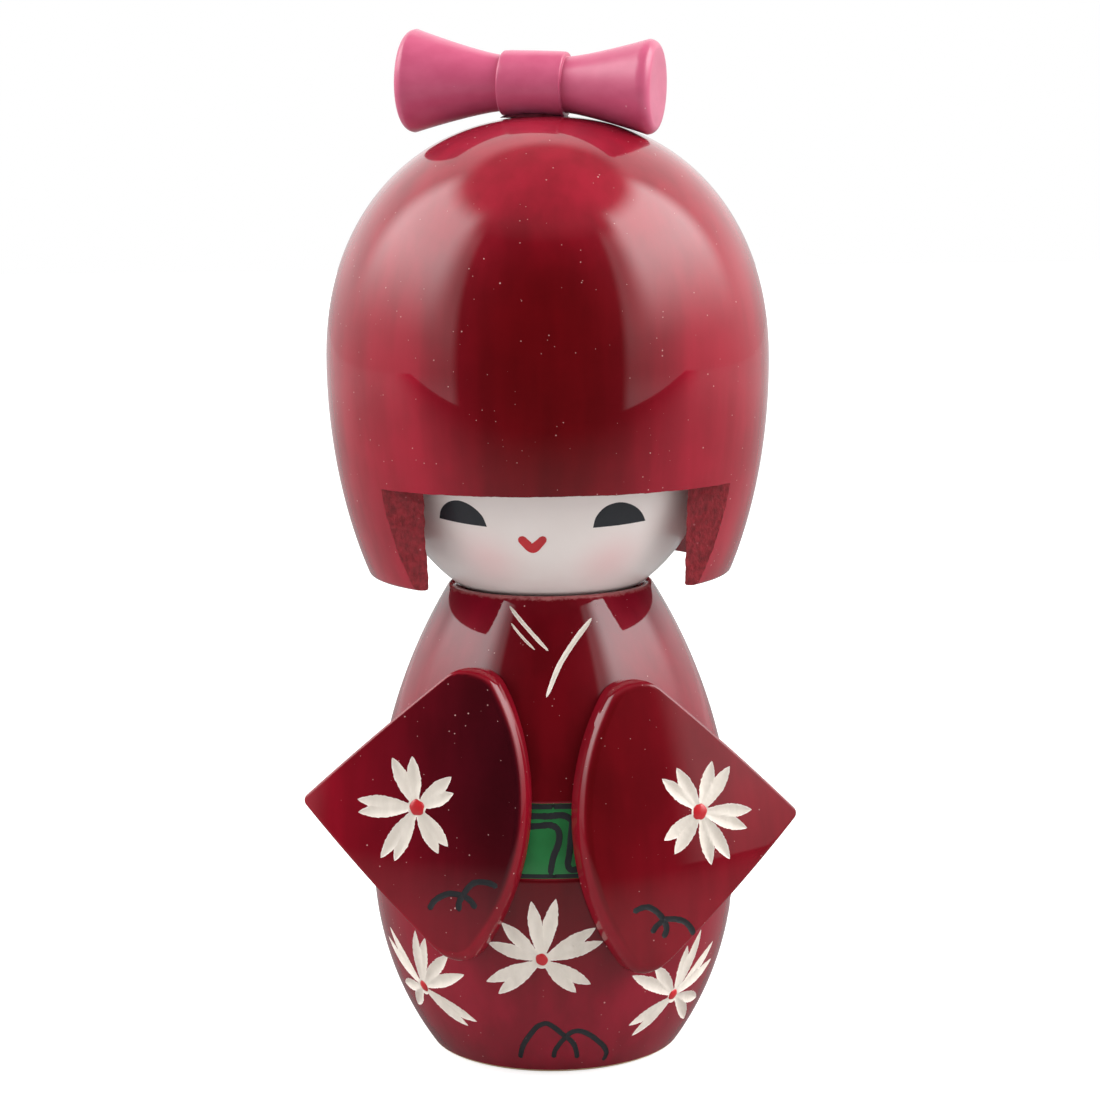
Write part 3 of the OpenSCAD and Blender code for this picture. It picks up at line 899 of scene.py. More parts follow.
# The flowers round the back: angle, height and turn
BACK_FLOWERS = [(96, 15.5, 20), (146, 10.0, 95), (-162, 16.0, 55), (-109, 10.5, 30)]
BACK_PETAL = 6.6
robe_centres = [robe_map.flat(*c) for c, _ in ROBE_FLOWERS]
robe_centres += [robe_map.flat(a, z) for a, z, _ in BACK_FLOWERS]
robe_strokes = []
for index, (_, tips) in enumerate(ROBE_FLOWERS):
    robe_strokes += flower(robe_centres[index], [robe_map.flat(*t) for t in tips], 10 * index)
for index, (_, _, turned_by) in enumerate(BACK_FLOWERS):
    centre = robe_centres[len(ROBE_FLOWERS) + index]
    tips = spread(centre, *five_petals(turned_by, BACK_PETAL, index))
    robe_strokes += flower(centre, tips, 100 + 10 * index)

ROBE_MARK = [
    [(-15.1, 2.1), (-13.4, 3.7), (-9.1, 6.05), (-5.9, 7.3), (-3.4, 7.6), (-0.5, 7.0), (2.1, 6.1), (3.7, 5.6)],
    [(3.7, 5.6), (5.5, 6.2), (7.8, 6.4), (12.0, 5.8), (15.9, 4.7), (19.4, 3.5), (21.0, 2.5), (20.5, 1.3)],
    [(3.9, 5.7), (0.9, 4.3), (-0.4, 3.5), (-1.1, 2.3)],
    [(3.7, 5.7), (6.8, 4.4), (8.0, 3.3), (8.7, 2.1)],
]
LINE_W, LINE_DEPTH, LINE_TAPER = 0.8, 0.11, 0.5
for turned_by in (0, 122, -128):
    for line in ROBE_MARK:
        robe_strokes.append(line_stroke([robe_map.flat(a + turned_by, z) for a, z in line], LINE_W,
                                        LINE_DEPTH, "line", seed=len(robe_strokes), taper=LINE_TAPER))
# The neckline's folds, each with its width
NECK_DEPTH, NECK_TAPER = 0.2, 5.0
NECK_CUTS = [
    ([(-21.9, 57.5), (-10.3, 54.9), (-1.2, 52.6)], 0.56),
    ([(-19.4, 55.6), (-12.7, 54.0), (-7.0, 52.7)], 0.36),
    ([(20.3, 56.05), (10.7, 53.7), (3.5, 51.1), (-2.1, 47.4)], 0.76),
]
for line, width in NECK_CUTS:
    robe_strokes.append(line_stroke([robe_map.flat(a, z) for a, z in line], width, NECK_DEPTH, "petal",
                                    seed=len(robe_strokes), taper=NECK_TAPER))
print("strokes on the robe:", len(robe_strokes))

# %% Build the robe
robe = Skin("robe", {"lacquer": robe_red, "petal": petal_paint, "line": line_paint, "obi": obi_paint,
                     "bare": bare_wood})
obi_span = [robe_map.flat(0, z)[1] for z in (OBI_LOW_Z + STEP_HALF, OBI_HIGH_Z - STEP_HALF)]


def robe_finish(flat):
    return ["obi" if obi_span[0] < v < obi_span[1] else "lacquer" for v in flat[:, 1]]


carve(robe, robe_map, *robe_map.grid(), robe_strokes, robe_finish)
# The collar rim's paler band is wear and a painted highlight on the rounded rim
RIM_WEAR_AND_HIGHLIGHT = 1.25  # how far the wear reaches from the collar's rim
for profile, finish in ((base, "bare"), (collar, "lacquer")):
    points, faces, corner = lathe(profile)
    from_axis = np.hypot(points[:, 0], points[:, 1])
    from_rim = np.hypot(from_axis - robe_radius(COLLAR_Z), points[:, 2] - COLLAR_Z)
    robe.add(points, faces, finish, corner, np.clip(RIM_WEAR_AND_HIGHLIGHT - from_rim, 0, 1)[np.array(faces)])
robe_piece = robe.build()
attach(robe_piece, "body")
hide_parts("kimono_body")

# %% [markdown]
# ## Raised paint
# Some paint sits on top of the lacquer: the sash lines, the eyes, the mouth and the flower dots.
# It is thin but real, with a rounded edge that catches light, so it is made as a thin skin that
# follows the surface under it.

# %% Raised paint helpers
def rim_distance(points, rim):
    """Distance of flat points to a closed outline."""
    best = np.full(len(points), 1e9)
    for a, b in zip(rim, np.roll(rim, -1, axis=0)):
        step = b - a
        t = np.clip(((points - a) @ step) / max(step @ step, 1e-12), 0, 1)
        best = np.minimum(best, np.linalg.norm(points - a - t[:, None] * step, axis=1))
    return best


def is_inside(points, rim):
    """Even-odd test of flat points against a closed outline."""
    inside = np.zeros(len(points), bool)
    for (ax, ay), (bx, by) in zip(rim, np.roll(rim, -1, axis=0)):
        if ay == by:
            continue
        crosses = (points[:, 1] > min(ay, by)) & (points[:, 1] <= max(ay, by))
        inside ^= crosses & (points[:, 0] < ax + (points[:, 1] - ay) * (bx - ax) / (by - ay))
    return inside


def inner_points(rim, cell, offsets=(0.05, 0.12, 0.22)):
    """A grid inside an outline, with rows close along the edge."""
    low, high = rim.min(axis=0), rim.max(axis=0)
    xs, ys = np.meshgrid(np.arange(low[0], high[0], cell), np.arange(low[1], high[1], cell))
    grid = np.column_stack([xs.ravel(), ys.ravel()])
    along = np.roll(rim, -1, axis=0) - np.roll(rim, 1, axis=0)
    along /= np.maximum(np.linalg.norm(along, axis=1), 1e-9)[:, None]
    inward = np.column_stack([-along[:, 1], along[:, 0]])
    rows = [grid[rim_distance(grid, rim) > offsets[-1] + 0.4 * cell]]
    for offset in offsets:
        row = rim + inward * offset
        rows.append(row[rim_distance(row, rim) > 0.93 * offset])
    every = np.vstack(rows)
    return every[is_inside(every, rim)]


def counter_clockwise(rim):
    """The closed outline, turned to run counter clockwise."""
    rim = np.array(rim, float)
    x, y = rim[:, 0], rim[:, 1]
    return rim if np.sum(x * np.roll(y, -1) - np.roll(x, -1) * y) > 0 else rim[::-1]


# Where raised paint ends, it dips this far under the surface
DIP = 0.008
PAINT_THICK, MOUTH_THICK, PAINT_BEVEL = 0.05, 0.09, 0.14


def raise_paint(skin, surface, rim, thick, finish, cell):
    """A thin skin of paint inside an outline, with a rounded edge."""
    rim = counter_clockwise(rim)
    flat, faces = flat_map(rim, inner_points(rim, cell), [])
    close = 1 - np.clip(rim_distance(flat, rim) / PAINT_BEVEL, 0, 1)
    lift = thick * np.sqrt(1 - close**2) - DIP
    points = surface.at(flat, -lift)
    skin.add(points, faces, finish, creased(points, faces, 70), close[faces])


def dot(skin, surface, centre, radius, low, high, seed):
    """A drop of paint with a slightly uneven round edge, from a low rim to a high middle."""
    rng = np.random.default_rng(seed)
    spokes, steps = 28, (0, 0.35, 0.6, 0.8, 0.92, 1.0)
    angle = np.linspace(0, 2 * math.pi, spokes, endpoint=False)
    wobble = 1 + 0.05 * np.sin(2 * angle + rng.uniform(0, 6)) + 0.03 * np.sin(5 * angle + rng.uniform(0, 6))
    flat, sunk = [np.array(centre, float)[None]], [[-high]]
    for s in steps[1:]:
        flat.append(centre + radius * s * wobble[:, None] * np.column_stack([np.cos(angle), np.sin(angle)]))
        sunk.append(np.full(spokes, -(low + (high - low) * math.sqrt(1 - s * s))))
    faces = [(0, 1 + j, 1 + (j + 1) % spokes) for j in range(spokes)]
    for i in range(len(steps) - 2):
        a, b = 1 + i * spokes, 1 + (i + 1) * spokes
        for j in range(spokes):
            k = (j + 1) % spokes
            faces += [(a + j, b + j, b + k), (a + j, b + k, a + k)]
    points, faces = surface.at(np.vstack(flat), np.concatenate(sunk)), np.array(faces)
    skin.add(points, faces, "dot", creased(points, faces, 75))


# %% [markdown]
# ## Dots and sash lines
# A red drop marks the middle of every flower. The green sash carries a black key pattern drawn
# freehand with round corners: a border above and below, and three hooked lines that repeat.

# %% Robe dots
# The radius of a dot, then its rim below the surface and its middle above it
ROBE_DOT, SLEEVE_DOT = (0.8, -0.19, 0.1), (0.95, -0.19, 0.12)
robe_dots = Skin("robe_flower_dots", {"dot": dot_paint})
for index, centre in enumerate(robe_centres):
    dot(robe_dots, robe_map, centre, *ROBE_DOT, index)
robe_dots_piece = robe_dots.build()
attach(robe_dots_piece, "body")

# %% Sash lines
KEY_PITCH, KEY_LINE = 30, 0.8
BORDERS = [(34.55, 35.18), (26.4, 26.9)]
# One unit of the key pattern: (angle, height) along each line
KEY_UNIT = [
    [(-13.0, 33.5), (-7.1, 33.75), (-2.0, 33.75), (4.4, 33.65), (5.8, 33.2), (5.7, 32.3), (5.3, 31.2),
     (5.0, 30.0), (4.6, 28.9), (4.3, 27.9), (5.0, 27.4), (7.5, 27.45), (11.0, 27.5), (12.8, 28.4),
     (12.2, 29.8), (11.0, 30.3)],
    [(-13.4, 32.4), (-7.1, 32.55), (-3.9, 32.65), (-0.8, 32.7), (1.2, 32.3), (1.8, 31.5), (1.6, 30.7),
     (0.9, 29.9), (0.1, 29.2), (-0.5, 28.3), (-0.9, 27.4), (-1.0, 26.7)],
    [(12.4, 32.9), (9.6, 33.0), (8.3, 32.3), (7.8, 31.0), (8.0, 29.2)],
]
sash = Skin("sash_lines", {"line": line_paint})
around = np.linspace(-180, 180, 181)
for low, high in BORDERS:
    for start in range(0, 360, 90):
        part = around[(around >= start - 180) & (around <= start - 90)]
        lower = [robe_map.flat(a, low) for a in part]
        upper = [robe_map.flat(a, high) for a in part[::-1]]
        raise_paint(sash, robe_map, lower + upper, PAINT_THICK, "line", 0.5)
for start in range(-180, 180, KEY_PITCH):
    for line in KEY_UNIT:
        points = [robe_map.flat(start + a, z) for a, z in line]
        path = line_stroke(points, KEY_LINE, 0, "line", seed=start + 400)
        raise_paint(sash, robe_map, outline(path), PAINT_THICK, "line", 0.35)
sash_piece = sash.build()
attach(sash_piece, "body")

# %% [markdown]
# ## Sleeves
# Both sleeves come from one flat turned disc with a domed front and a round edge, sawn into
# sectors. The tips are sanded round and the back is scooped to lie on the robe. The carving is
# done as on the robe, on a flat map that is simply the disc seen from the front.

# %% The sleeve's outline and surface
SLEEVE_R, SLEEVE_DOME_R, SLEEVE_THICK = 27.7, 95.0, 6.8
SLEEVE_HALF_ANGLE, TIP_UP_R, TIP_LOW_R, CORNER_R = 43.5, 4.0, 2.8, 0.9
SLEEVE_LEAN = 9
ARC_SOFT, SIDE_SOFT = 1.2, 0.38
# Distance sideways, forward and up of the outer corner, then the turn outward and the roll
SLEEVE_PLACES = {"left": (30.4, 16.4, 34.9, 23, -0.5), "right": (29.85, 15.4, 32.3, 28, 2.5)}


def evenly(line, step):
    """The closed line again with points about every step, keeping its corners."""
    out = []
    for a, b in zip(line, np.roll(line, -1, axis=0)):
        count = max(1, int(round(np.linalg.norm(b - a) / step)))
        out += [a + (b - a) * i / count for i in range(count)]
    return np.array(out)


def sleeve_outline():
    """The sector seen from the front, with its point at the origin and its arc toward +X."""
    corner = CORNER_R / math.sin(math.radians(SLEEVE_HALF_ANGLE))
    low_a, up_a = (s * (SLEEVE_HALF_ANGLE - math.degrees(math.asin(r / (SLEEVE_R - r))))
                   for s, r in ((-1, TIP_LOW_R), (1, TIP_UP_R)))
    low_d, up_d = SLEEVE_R - TIP_LOW_R, SLEEVE_R - TIP_UP_R
    low_c = (low_d * math.cos(math.radians(low_a)), low_d * math.sin(math.radians(low_a)))
    up_c = (up_d * math.cos(math.radians(up_a)), up_d * math.sin(math.radians(up_a)))
    line = np.vstack([
        arc(corner, 0, CORNER_R, 90 + SLEEVE_HALF_ANGLE, 270 - SLEEVE_HALF_ANGLE, 7),
        arc(*low_c, TIP_LOW_R, -90 - SLEEVE_HALF_ANGLE, low_a, 12),
        arc(0, 0, SLEEVE_R, low_a, up_a, 60)[1:-1],
        arc(*up_c, TIP_UP_R, up_a, 90 + SLEEVE_HALF_ANGLE, 12)])
    return evenly(line, 0.5)


class Plate:
    """The domed front of a sleeve, drawn on its own flat map, with its edges rounded."""

    def __init__(self, rim):
        self.rim = rim

    def height(self, flat):
        r = np.hypot(flat[:, 0], flat[:, 1])
        top = np.sqrt(SLEEVE_DOME_R**2 - r**2) - SLEEVE_DOME_R
        blend = np.clip((r - 23.5) / 3, 0, 1)
        soft = SIDE_SOFT + (ARC_SOFT - SIDE_SOFT) * blend**2 * (3 - 2 * blend)
        near_rim = np.clip(1 - rim_distance(flat, self.rim) / soft, 0, 1)
        return top - soft * (1 - np.sqrt(1 - near_rim**2))

    def at(self, flat, sunk=0.0):
        return np.column_stack([flat, self.height(flat) - sunk])

    def arrows(self, flat):
        # The rounding is vertical at the very rim, so the slope there is taken a hair inside
        step, inset = 0.02, 0.03
        centre = np.array([14.0, 0.0])
        close = rim_distance(flat, self.rim) < inset
        pulled = flat + close[:, None] * (centre - flat) * inset / 12
        dx, dy = (self.height(pulled + d) - self.height(pulled - d) for d in ([step, 0], [0, step]))
        out = np.column_stack([-dx / (2 * step), -dy / (2 * step), np.ones(len(flat))])
        return out / np.linalg.norm(out, axis=1)[:, None]


def sleeve_matrix(side):
    """Where a sleeve stands, in mm. The right one is the mirror image of a left one."""
    across, forward, up, turned, roll = SLEEVE_PLACES[side]
    place_at = (Matrix.Translation((-across, -forward, up)) @ Matrix.Rotation(math.radians(-turned), 4, "Z")
                @ Matrix.Rotation(math.radians(90 - SLEEVE_LEAN), 4, "X")
                @ Matrix.Rotation(math.radians(roll), 4, "Z"))
    return place_at if side == "left" else Matrix.Diagonal((-1, 1, 1, 1)) @ place_at


BACK_GAP, LEAST_THICK = 0.015, 0.3


def scooped_back(flat, top, place_at):
    """Local height of the back: flat, or lying on the robe where the robe is in the way."""
    m = np.array(place_at)
    back = np.full(len(flat), -SLEEVE_THICK)
    before = None
    for z in np.linspace(-SLEEVE_THICK, 0.5, 80):
        local = np.column_stack([flat, np.full(len(flat), z)])
        p = local @ m[:3, :3].T + m[:3, 3]
        outside = np.hypot(p[:, 0], p[:, 1]) - robe_radius(p[:, 2])
        if before is not None:
            crossing = (before[1] < 0) & (outside >= 0)
            share = before[1] / np.minimum(before[1] - outside, -1e-9)
            back = np.where(crossing, before[0] + share * (z - before[0]) + BACK_GAP, back)
        before = (z, outside)
    return np.minimum(back, top - LEAST_THICK)


# %% Flowers and marks on the sleeves
# The middle of each flower, then the direction and the length of its lobes
SLEEVE_FLOWERS = {
    "left": ((14.9, 0.3), (121, 99, 45, 25, -47, -61, -110, -123, -171, 177),
             (6.6, 6.1, 5.6, 4.8, 5.9, 6.0, 7.0, 7.6, 7.3, 7.4)),
    "right": ((13.4, 1.1), (64, 43, 129, 108, -158, -178, -100, -121, -33, -54),
              (6.0, 6.2, 6.6, 6.2, 6.4, 6.7, 6.5, 6.9, 5.6, 5.9)),
}
SLEEVE_LINE_W, SLEEVE_LINE_DEPTH = 0.72, 0.1
SLEEVE_MARKS = {
    "left": [[(16.8, -11.8), (17.4, -10.7), (18.3, -10.0), (19.2, -9.6), (20.0, -9.6), (20.9, -9.7)],
             [(20.8, -9.8), (21.4, -8.8), (22.2, -8.05), (23.1, -7.9), (24.0, -8.0), (24.9, -8.4)],
             [(20.8, -9.7), (20.4, -10.6), (20.4, -11.7)],
             [(20.9, -9.7), (21.8, -10.3), (22.4, -11.2)]],
    "right": [[(22.0, -10.2), (21.2, -9.8), (20.2, -9.7), (19.3, -10.2), (18.2, -11.4)],
              [(18.3, -11.3), (16.9, -11.4), (15.7, -11.8), (14.9, -12.6), (14.4, -13.6)],
              [(18.2, -11.4), (19.2, -12.1), (19.7, -12.9)],
              [(18.2, -11.4), (17.9, -12.6), (18.3, -13.6)]],
}
sleeve_rim = counter_clockwise(sleeve_outline())
plate = Plate(sleeve_rim)
print("sleeve outline points:", len(sleeve_rim))


# %% Build the sleeves
def wall(rim, top, bottom, levels=4):
    """The side of a sleeve between its front edge and its back edge."""
    along = np.roll(rim, -1, axis=0) - np.roll(rim, 1, axis=0)
    along /= np.linalg.norm(along, axis=1)[:, None]
    outward = np.column_stack([along[:, 1], -along[:, 0], np.zeros(len(rim))])
    rows = [np.column_stack([rim, top + (bottom - top) * i / (levels - 1)]) for i in range(levels)]
    faces, count = [], len(rim)
    for i in range(levels - 1):
        for j in range(count):
            k = (j + 1) % count
            faces.append((i * count + j, (i + 1) * count + j, (i + 1) * count + k, i * count + k))
    arrows = np.tile(outward, (levels, 1))
    return np.vstack(rows), faces, np.array([arrows[list(f)] for f in faces])


def build_sleeve(side):
    place_at = sleeve_matrix(side)
    centre, directions, lengths = SLEEVE_FLOWERS[side]
    strokes = flower(centre, spread(centre, directions, lengths), 300)
    for line in SLEEVE_MARKS[side]:
        strokes.append(line_stroke(line, SLEEVE_LINE_W, SLEEVE_LINE_DEPTH, "line", seed=len(strokes),
                                   taper=LINE_TAPER))
    skin = Skin(f"{side}_sleeve", {"lacquer": left_sleeve_red_shaded if side == "left" else right_sleeve_red,
                                   "petal": petal_paint, "line": line_paint})
    grid = inner_points(sleeve_rim, 0.7, (0.05, 0.12, 0.22, 0.38, 0.62, 0.9, 1.25))
    carve(skin, plate, sleeve_rim, grid, strokes, lambda flat: ["lacquer"] * len(flat))
    top = plate.height(sleeve_rim)
    points, faces, corner = wall(sleeve_rim, top, scooped_back(sleeve_rim, top, place_at))
    skin.add(points, faces, "lacquer", corner)
    flat, faces = flat_map(sleeve_rim, inner_points(sleeve_rim, 0.9, (0.45,)), [])
    back = np.column_stack([flat, scooped_back(flat, plate.height(flat), place_at)])
    faces = faces[:, ::-1]
    skin.add(back, faces, "lacquer", creased(back, faces, 25))
    piece = skin.build(place_at)
    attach(piece, "body")
    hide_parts(f"sleeve_{side}")
    drop = Skin(f"{side}_sleeve_dot", {"dot": dot_paint})
    dot(drop, plate, centre, *SLEEVE_DOT, 7)
    drop_piece = drop.build(place_at)
    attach(drop_piece, "body")


for side_name in SLEEVE_PLACES:
    build_sleeve(side_name)

# %% [markdown]
# ## Head
# The ball is sanded, sealed and sprayed with pale face paint. The eyes are half moons with an
# almost straight lower edge, the mouth is a small rounded V, and the cheeks have a breath of
# pink. The ball is flat below, where it rests on the collar, and above, inside the hair.

# %% Face paint
def cheek(tree, place_at, radius):
    """A soft round mask round a point on the ball, in metres."""
    far = place(tree, "ShaderNodeVectorMath", operation="DISTANCE", in_0=own_place(tree), in_1=place_at)
    return fade(tree, far.outputs["Value"], radius, 0.0)


def ball_point(azimuth, elevation):
    """A point on the ball, in mm, from its angles round and up."""
    a, e = math.radians(azimuth), math.radians(elevation)
    way = Vector((math.sin(a) * math.cos(e), -math.cos(a) * math.cos(e), math.sin(e)))
    return way * HEAD_R + Vector((0, 0, HEAD_Z))


CHEEKS, CHEEK_REACH = [(-27.8, -34.3), (27.1, -35.5)], 6.2
face_paint, tree = new_material("pale_face_paint")
grain = use(tree, streaks, Across=60, Along=60, Clouds=40)
skin_tone = mix(tree, grain.outputs[0], (0.84, 0.765, 0.725, 1), (0.90, 0.83, 0.80, 1))
for azimuth, elevation in CHEEKS:
    mask = cheek(tree, ball_point(azimuth, elevation) * MM, CHEEK_REACH * MM)
    skin_tone = mix(tree, maths(tree, "MULTIPLY", mask, 0.55), skin_tone, (0.84, 0.52, 0.52, 1))
face_specks = use(tree, dust, Spacing=330, Size=0.05, Share=0.2)
skin_tone = mix(tree, maths(tree, "MULTIPLY", face_specks.outputs[0], 0.5), skin_tone, (0.35, 0.25, 0.2, 1))
end_material(tree, place(tree, "ShaderNodeBsdfPrincipled", Base_Color=skin_tone, Roughness=0.35,
                         Coat_Weight=0.8, Coat_Roughness=0.08,
                         Normal=bumped(tree, face_specks.outputs[1], 0.15)))
print("face paint with", len(CHEEKS), "cheeks")

# %% Build the ball
CROWN_FLAT_Z = 93.0
ball_low, ball_high = (math.asin((z - HEAD_Z) / HEAD_R) for z in (LAND_Z, CROWN_FLAT_Z))
ball_angles = np.linspace(ball_low, ball_high, 90)
ball_side = [(HEAD_R * math.cos(e), HEAD_Z + HEAD_R * math.sin(e)) for e in ball_angles]
ball = Skin("ball_head", {"face": face_paint})
points, faces, corner = lathe([(0, LAND_Z)] + ball_side + [(0, CROWN_FLAT_Z)])
ball.add(points, faces, "face", corner)
ball_piece = ball.build()
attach(ball_piece, "head")
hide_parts("head")

# %% Eyes and mouth
ball_map = Turned(ball_side, HEAD_R * math.cos(math.radians(20)))


def on_ball(azimuth, elevation):
    """Map place of a point of the ball."""
    return ball_map.flat(azimuth, HEAD_Z + HEAD_R * math.sin(math.radians(elevation)))


# The curved upper edge of each eye, from corner to corner
EYES = [
    [(-44.3, -18.7), (-42.5, -15.4), (-38.9, -12.5), (-33.6, -11.3), (-28.0, -13.2), (-24.6, -16.6),
     (-23.4, -20.6)],
    [(15.9, -21.1), (16.6, -17.2), (19.6, -13.6), (24.9, -12.1), (30.6, -13.5), (35.3, -16.9), (37.6, -20.0)],
]
EYE_STEP, MOUTH_STEP = 0.25, 0.12
features = Skin("face_lines", {"eye": eye_paint, "dot": dot_paint})
for eye in EYES:
    lid = curve_through([on_ball(*p) for p in eye], EYE_STEP)
    under = curve_through([lid[-1], (lid[0] + lid[-1]) / 2 + [0, -0.05], lid[0]], EYE_STEP)
    raise_paint(features, ball_map, np.vstack([lid, under[1:-1]]), PAINT_THICK, "eye", 0.35)
MOUTH = [(-11.3, -24.0), (-9.6, -26.4), (-6.7, -28.7), (-4.2, -26.9), (-1.7, -24.0)]
# The mouth's half width along its V
MOUTH_ALONG = (0, 0.03, 0.1, 0.3, 0.5, 0.7, 0.9, 0.97, 1)
MOUTH_HALF = (0.05, 0.38, 0.58, 0.64, 0.76, 0.6, 0.52, 0.34, 0.05)
mouth_axis = curve_through([on_ball(*p) for p in MOUTH], MOUTH_STEP)
mouth_half = np.interp(np.linspace(0, 1, len(mouth_axis)), MOUTH_ALONG, MOUTH_HALF)
raise_paint(features, ball_map, outline(Stroke(mouth_axis, mouth_half, 0, "dot")), MOUTH_THICK, "dot", 0.2)
features_piece = features.build()
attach(features_piece, "head")

# %% [markdown]
# ## Hair cap
# The hair is one turning with a hollow that fits over the ball. The face window is then sawn
# out, which leaves two locks with rough cut faces. The dome is swept from a profile and the
# window is cut with a Boolean, because a straight saw cut through a curved shell has edges that
# are easy for a Boolean and hard to draw by hand. The cutter is uneven, as a quick cut is.

# %% The rough cut finish
cut_wood, tree = new_material("stained_cut")
grain = use(tree, streaks, Across=2200, Along=900, Clouds=1600)
cut_colour = mix(tree, grain.outputs[0], (0.2, 0.004, 0.01, 1), (0.36, 0.01, 0.022, 1))
cut_specks = use(tree, dust, Spacing=700, Size=0.1, Share=0.4)
cut_colour = mix(tree, maths(tree, "MULTIPLY", cut_specks.outputs[0], 0.4), cut_colour, (0.6, 0.2, 0.22, 1))
fine_grain = noise_at(tree, stretched(tree, 2600.0, 1800.0), 3.0)
end_material(tree, place(tree, "ShaderNodeBsdfPrincipled", Base_Color=cut_colour, Roughness=0.6,
                         Coat_Weight=0.15, Coat_Roughness=0.25,
                         Normal=bumped(tree, fine_grain, 0.7, 0.00025)))
print("cut finish:", cut_wood.name)

# %% The hair's profile
HAIR_RIM_Z, HOLLOW_RIM_R, HOLLOW_R = 60.0, 21.3, 22.5
HOLLOW_FLARE_Z, HAIR_STEP_Z, HAIR_BALL_GAP = 75.0, 78.0, 0.4
# Below the widest place the side is an ellipse, above it a superellipse up to a small flat
HAIR_R, HAIR_WIDE_Z, HAIR_LOWER_H, HAIR_DOME_H, HAIR_DOME_POWER = 27.29, 86.1, 45.9, 29.85, 2.16
CROWN_ANGLE = 86
low_z = np.linspace(HAIR_RIM_Z, HAIR_WIDE_Z, 32)[:-1]
low_side = np.column_stack([HAIR_R * np.sqrt(1 - ((HAIR_WIDE_Z - low_z) / HAIR_LOWER_H) ** 2), low_z])
dome_a = np.radians(np.linspace(0, CROWN_ANGLE, 70))
dome = np.column_stack([HAIR_R * np.cos(dome_a) ** (2 / HAIR_DOME_POWER),
                        HAIR_WIDE_Z + HAIR_DOME_H * np.sin(dome_a) ** (2 / HAIR_DOME_POWER)])
hair_side = np.vstack([low_side, dome])
CROWN_Z = hair_side[-1][1]
shell_r = HEAD_R + HAIR_BALL_GAP
seat_z = np.linspace(CROWN_FLAT_Z, HAIR_STEP_Z, 14)
seat = [(math.sqrt(shell_r**2 - (HEAD_Z - z) ** 2), z) for z in seat_z]
rim_inner = [(HOLLOW_R, HAIR_STEP_Z), (HOLLOW_R, HOLLOW_FLARE_Z), (HOLLOW_RIM_R, HAIR_RIM_Z),
             tuple(hair_side[0]), tuple(hair_side[2])]
hair_profile = np.vstack([[(0, CROWN_FLAT_Z)], seat, rounded(rim_inner, (0.3, 0.35, 0.5), 5),
                          hair_side[3:], [(0, CROWN_Z)]])
print("hair profile points:", len(hair_profile), "crown at", round(CROWN_Z, 2))

# %% The window cutter
# How far in front of the axis the locks are cut, at the fringe and at the rim
WINDOW_FRONT, WINDOW_FRONT_LOW, WINDOW_TURN, FRINGE_Z = 15.8, 14.8, 3.0, 72.4
CUTTER_HALF_W, CUTTER_FAR, SAW_STEP = 30.0, 34.0, 0.4
front = np.array([math.sin(math.radians(WINDOW_TURN)), -math.cos(math.radians(WINDOW_TURN)), 0])
beside = np.array([math.cos(math.radians(WINDOW_TURN)), math.sin(math.radians(WINDOW_TURN)), 0])


def rough(x, y, cell, amount):
    """Unevenness of a saw cut, in mm."""
    return amount * noise.noise(Vector((x / cell, y / cell, 3.7)))


def window_cutter():
    """A block that opens the face window: an uneven back plane that leans in, and an uneven top."""
    low_z = HAIR_RIM_Z - 2
    across = np.arange(-CUTTER_HALF_W, CUTTER_HALF_W + 0.01, SAW_STEP)
    rows = []
    for z in np.append(np.arange(low_z, FRINGE_Z, SAW_STEP), FRINGE_Z):
        lean = WINDOW_FRONT - (WINDOW_FRONT - WINDOW_FRONT_LOW) * (FRINGE_Z - z) / (FRINGE_Z - HAIR_RIM_Z)
        rows.append([(t, lean + rough(t, z, 0.9, 0.12) + rough(t, z, 0.35, 0.06) + rough(t, z, 3.0, 0.15), z)
                     for t in across])
    for d in np.arange(WINDOW_FRONT + 0.5, CUTTER_FAR, 0.5):
        rows.append([(t, d, FRINGE_Z + rough(t, d, 0.5, 0.05) + rough(t, d, 2.5, 0.07)) for t in across])
    count = len(across)
    points = [t * beside + d * front + np.array([0, 0, z]) for row in rows for t, d, z in row]
    faces = [(i * count + j, i * count + j + 1, (i + 1) * count + j + 1, (i + 1) * count + j)
             for i in range(len(rows) - 1) for j in range(count - 1)]
    base_row = len(points)
    points += [t * beside + CUTTER_FAR * front + np.array([0, 0, low_z]) for t in across]
    last = (len(rows) - 1) * count
    faces += [(last + j, last + j + 1, base_row + j + 1, base_row + j) for j in range(count - 1)]
    faces += [(base_row + j, base_row + j + 1, j + 1, j) for j in range(count - 1)]
    left = [i * count for i in range(len(rows))] + [base_row]
    right = [i * count + count - 1 for i in range(len(rows))] + [base_row + count - 1]
    faces += [tuple(left), tuple(right[::-1])]
    mesh = bpy.data.meshes.new("window_cutter")
    mesh.from_pydata([tuple(p * MM) for p in points], [], faces)
    work = bmesh.new()
    work.from_mesh(mesh)
    bmesh.ops.recalc_face_normals(work, faces=work.faces)
    work.to_mesh(mesh)
    work.free()
    mesh.materials.append(cut_wood)
    made = bpy.data.objects.new("window_cutter", mesh)
    bpy.context.scene.collection.objects.link(made)
    print("window cutter:", len(faces), "faces")
    return made


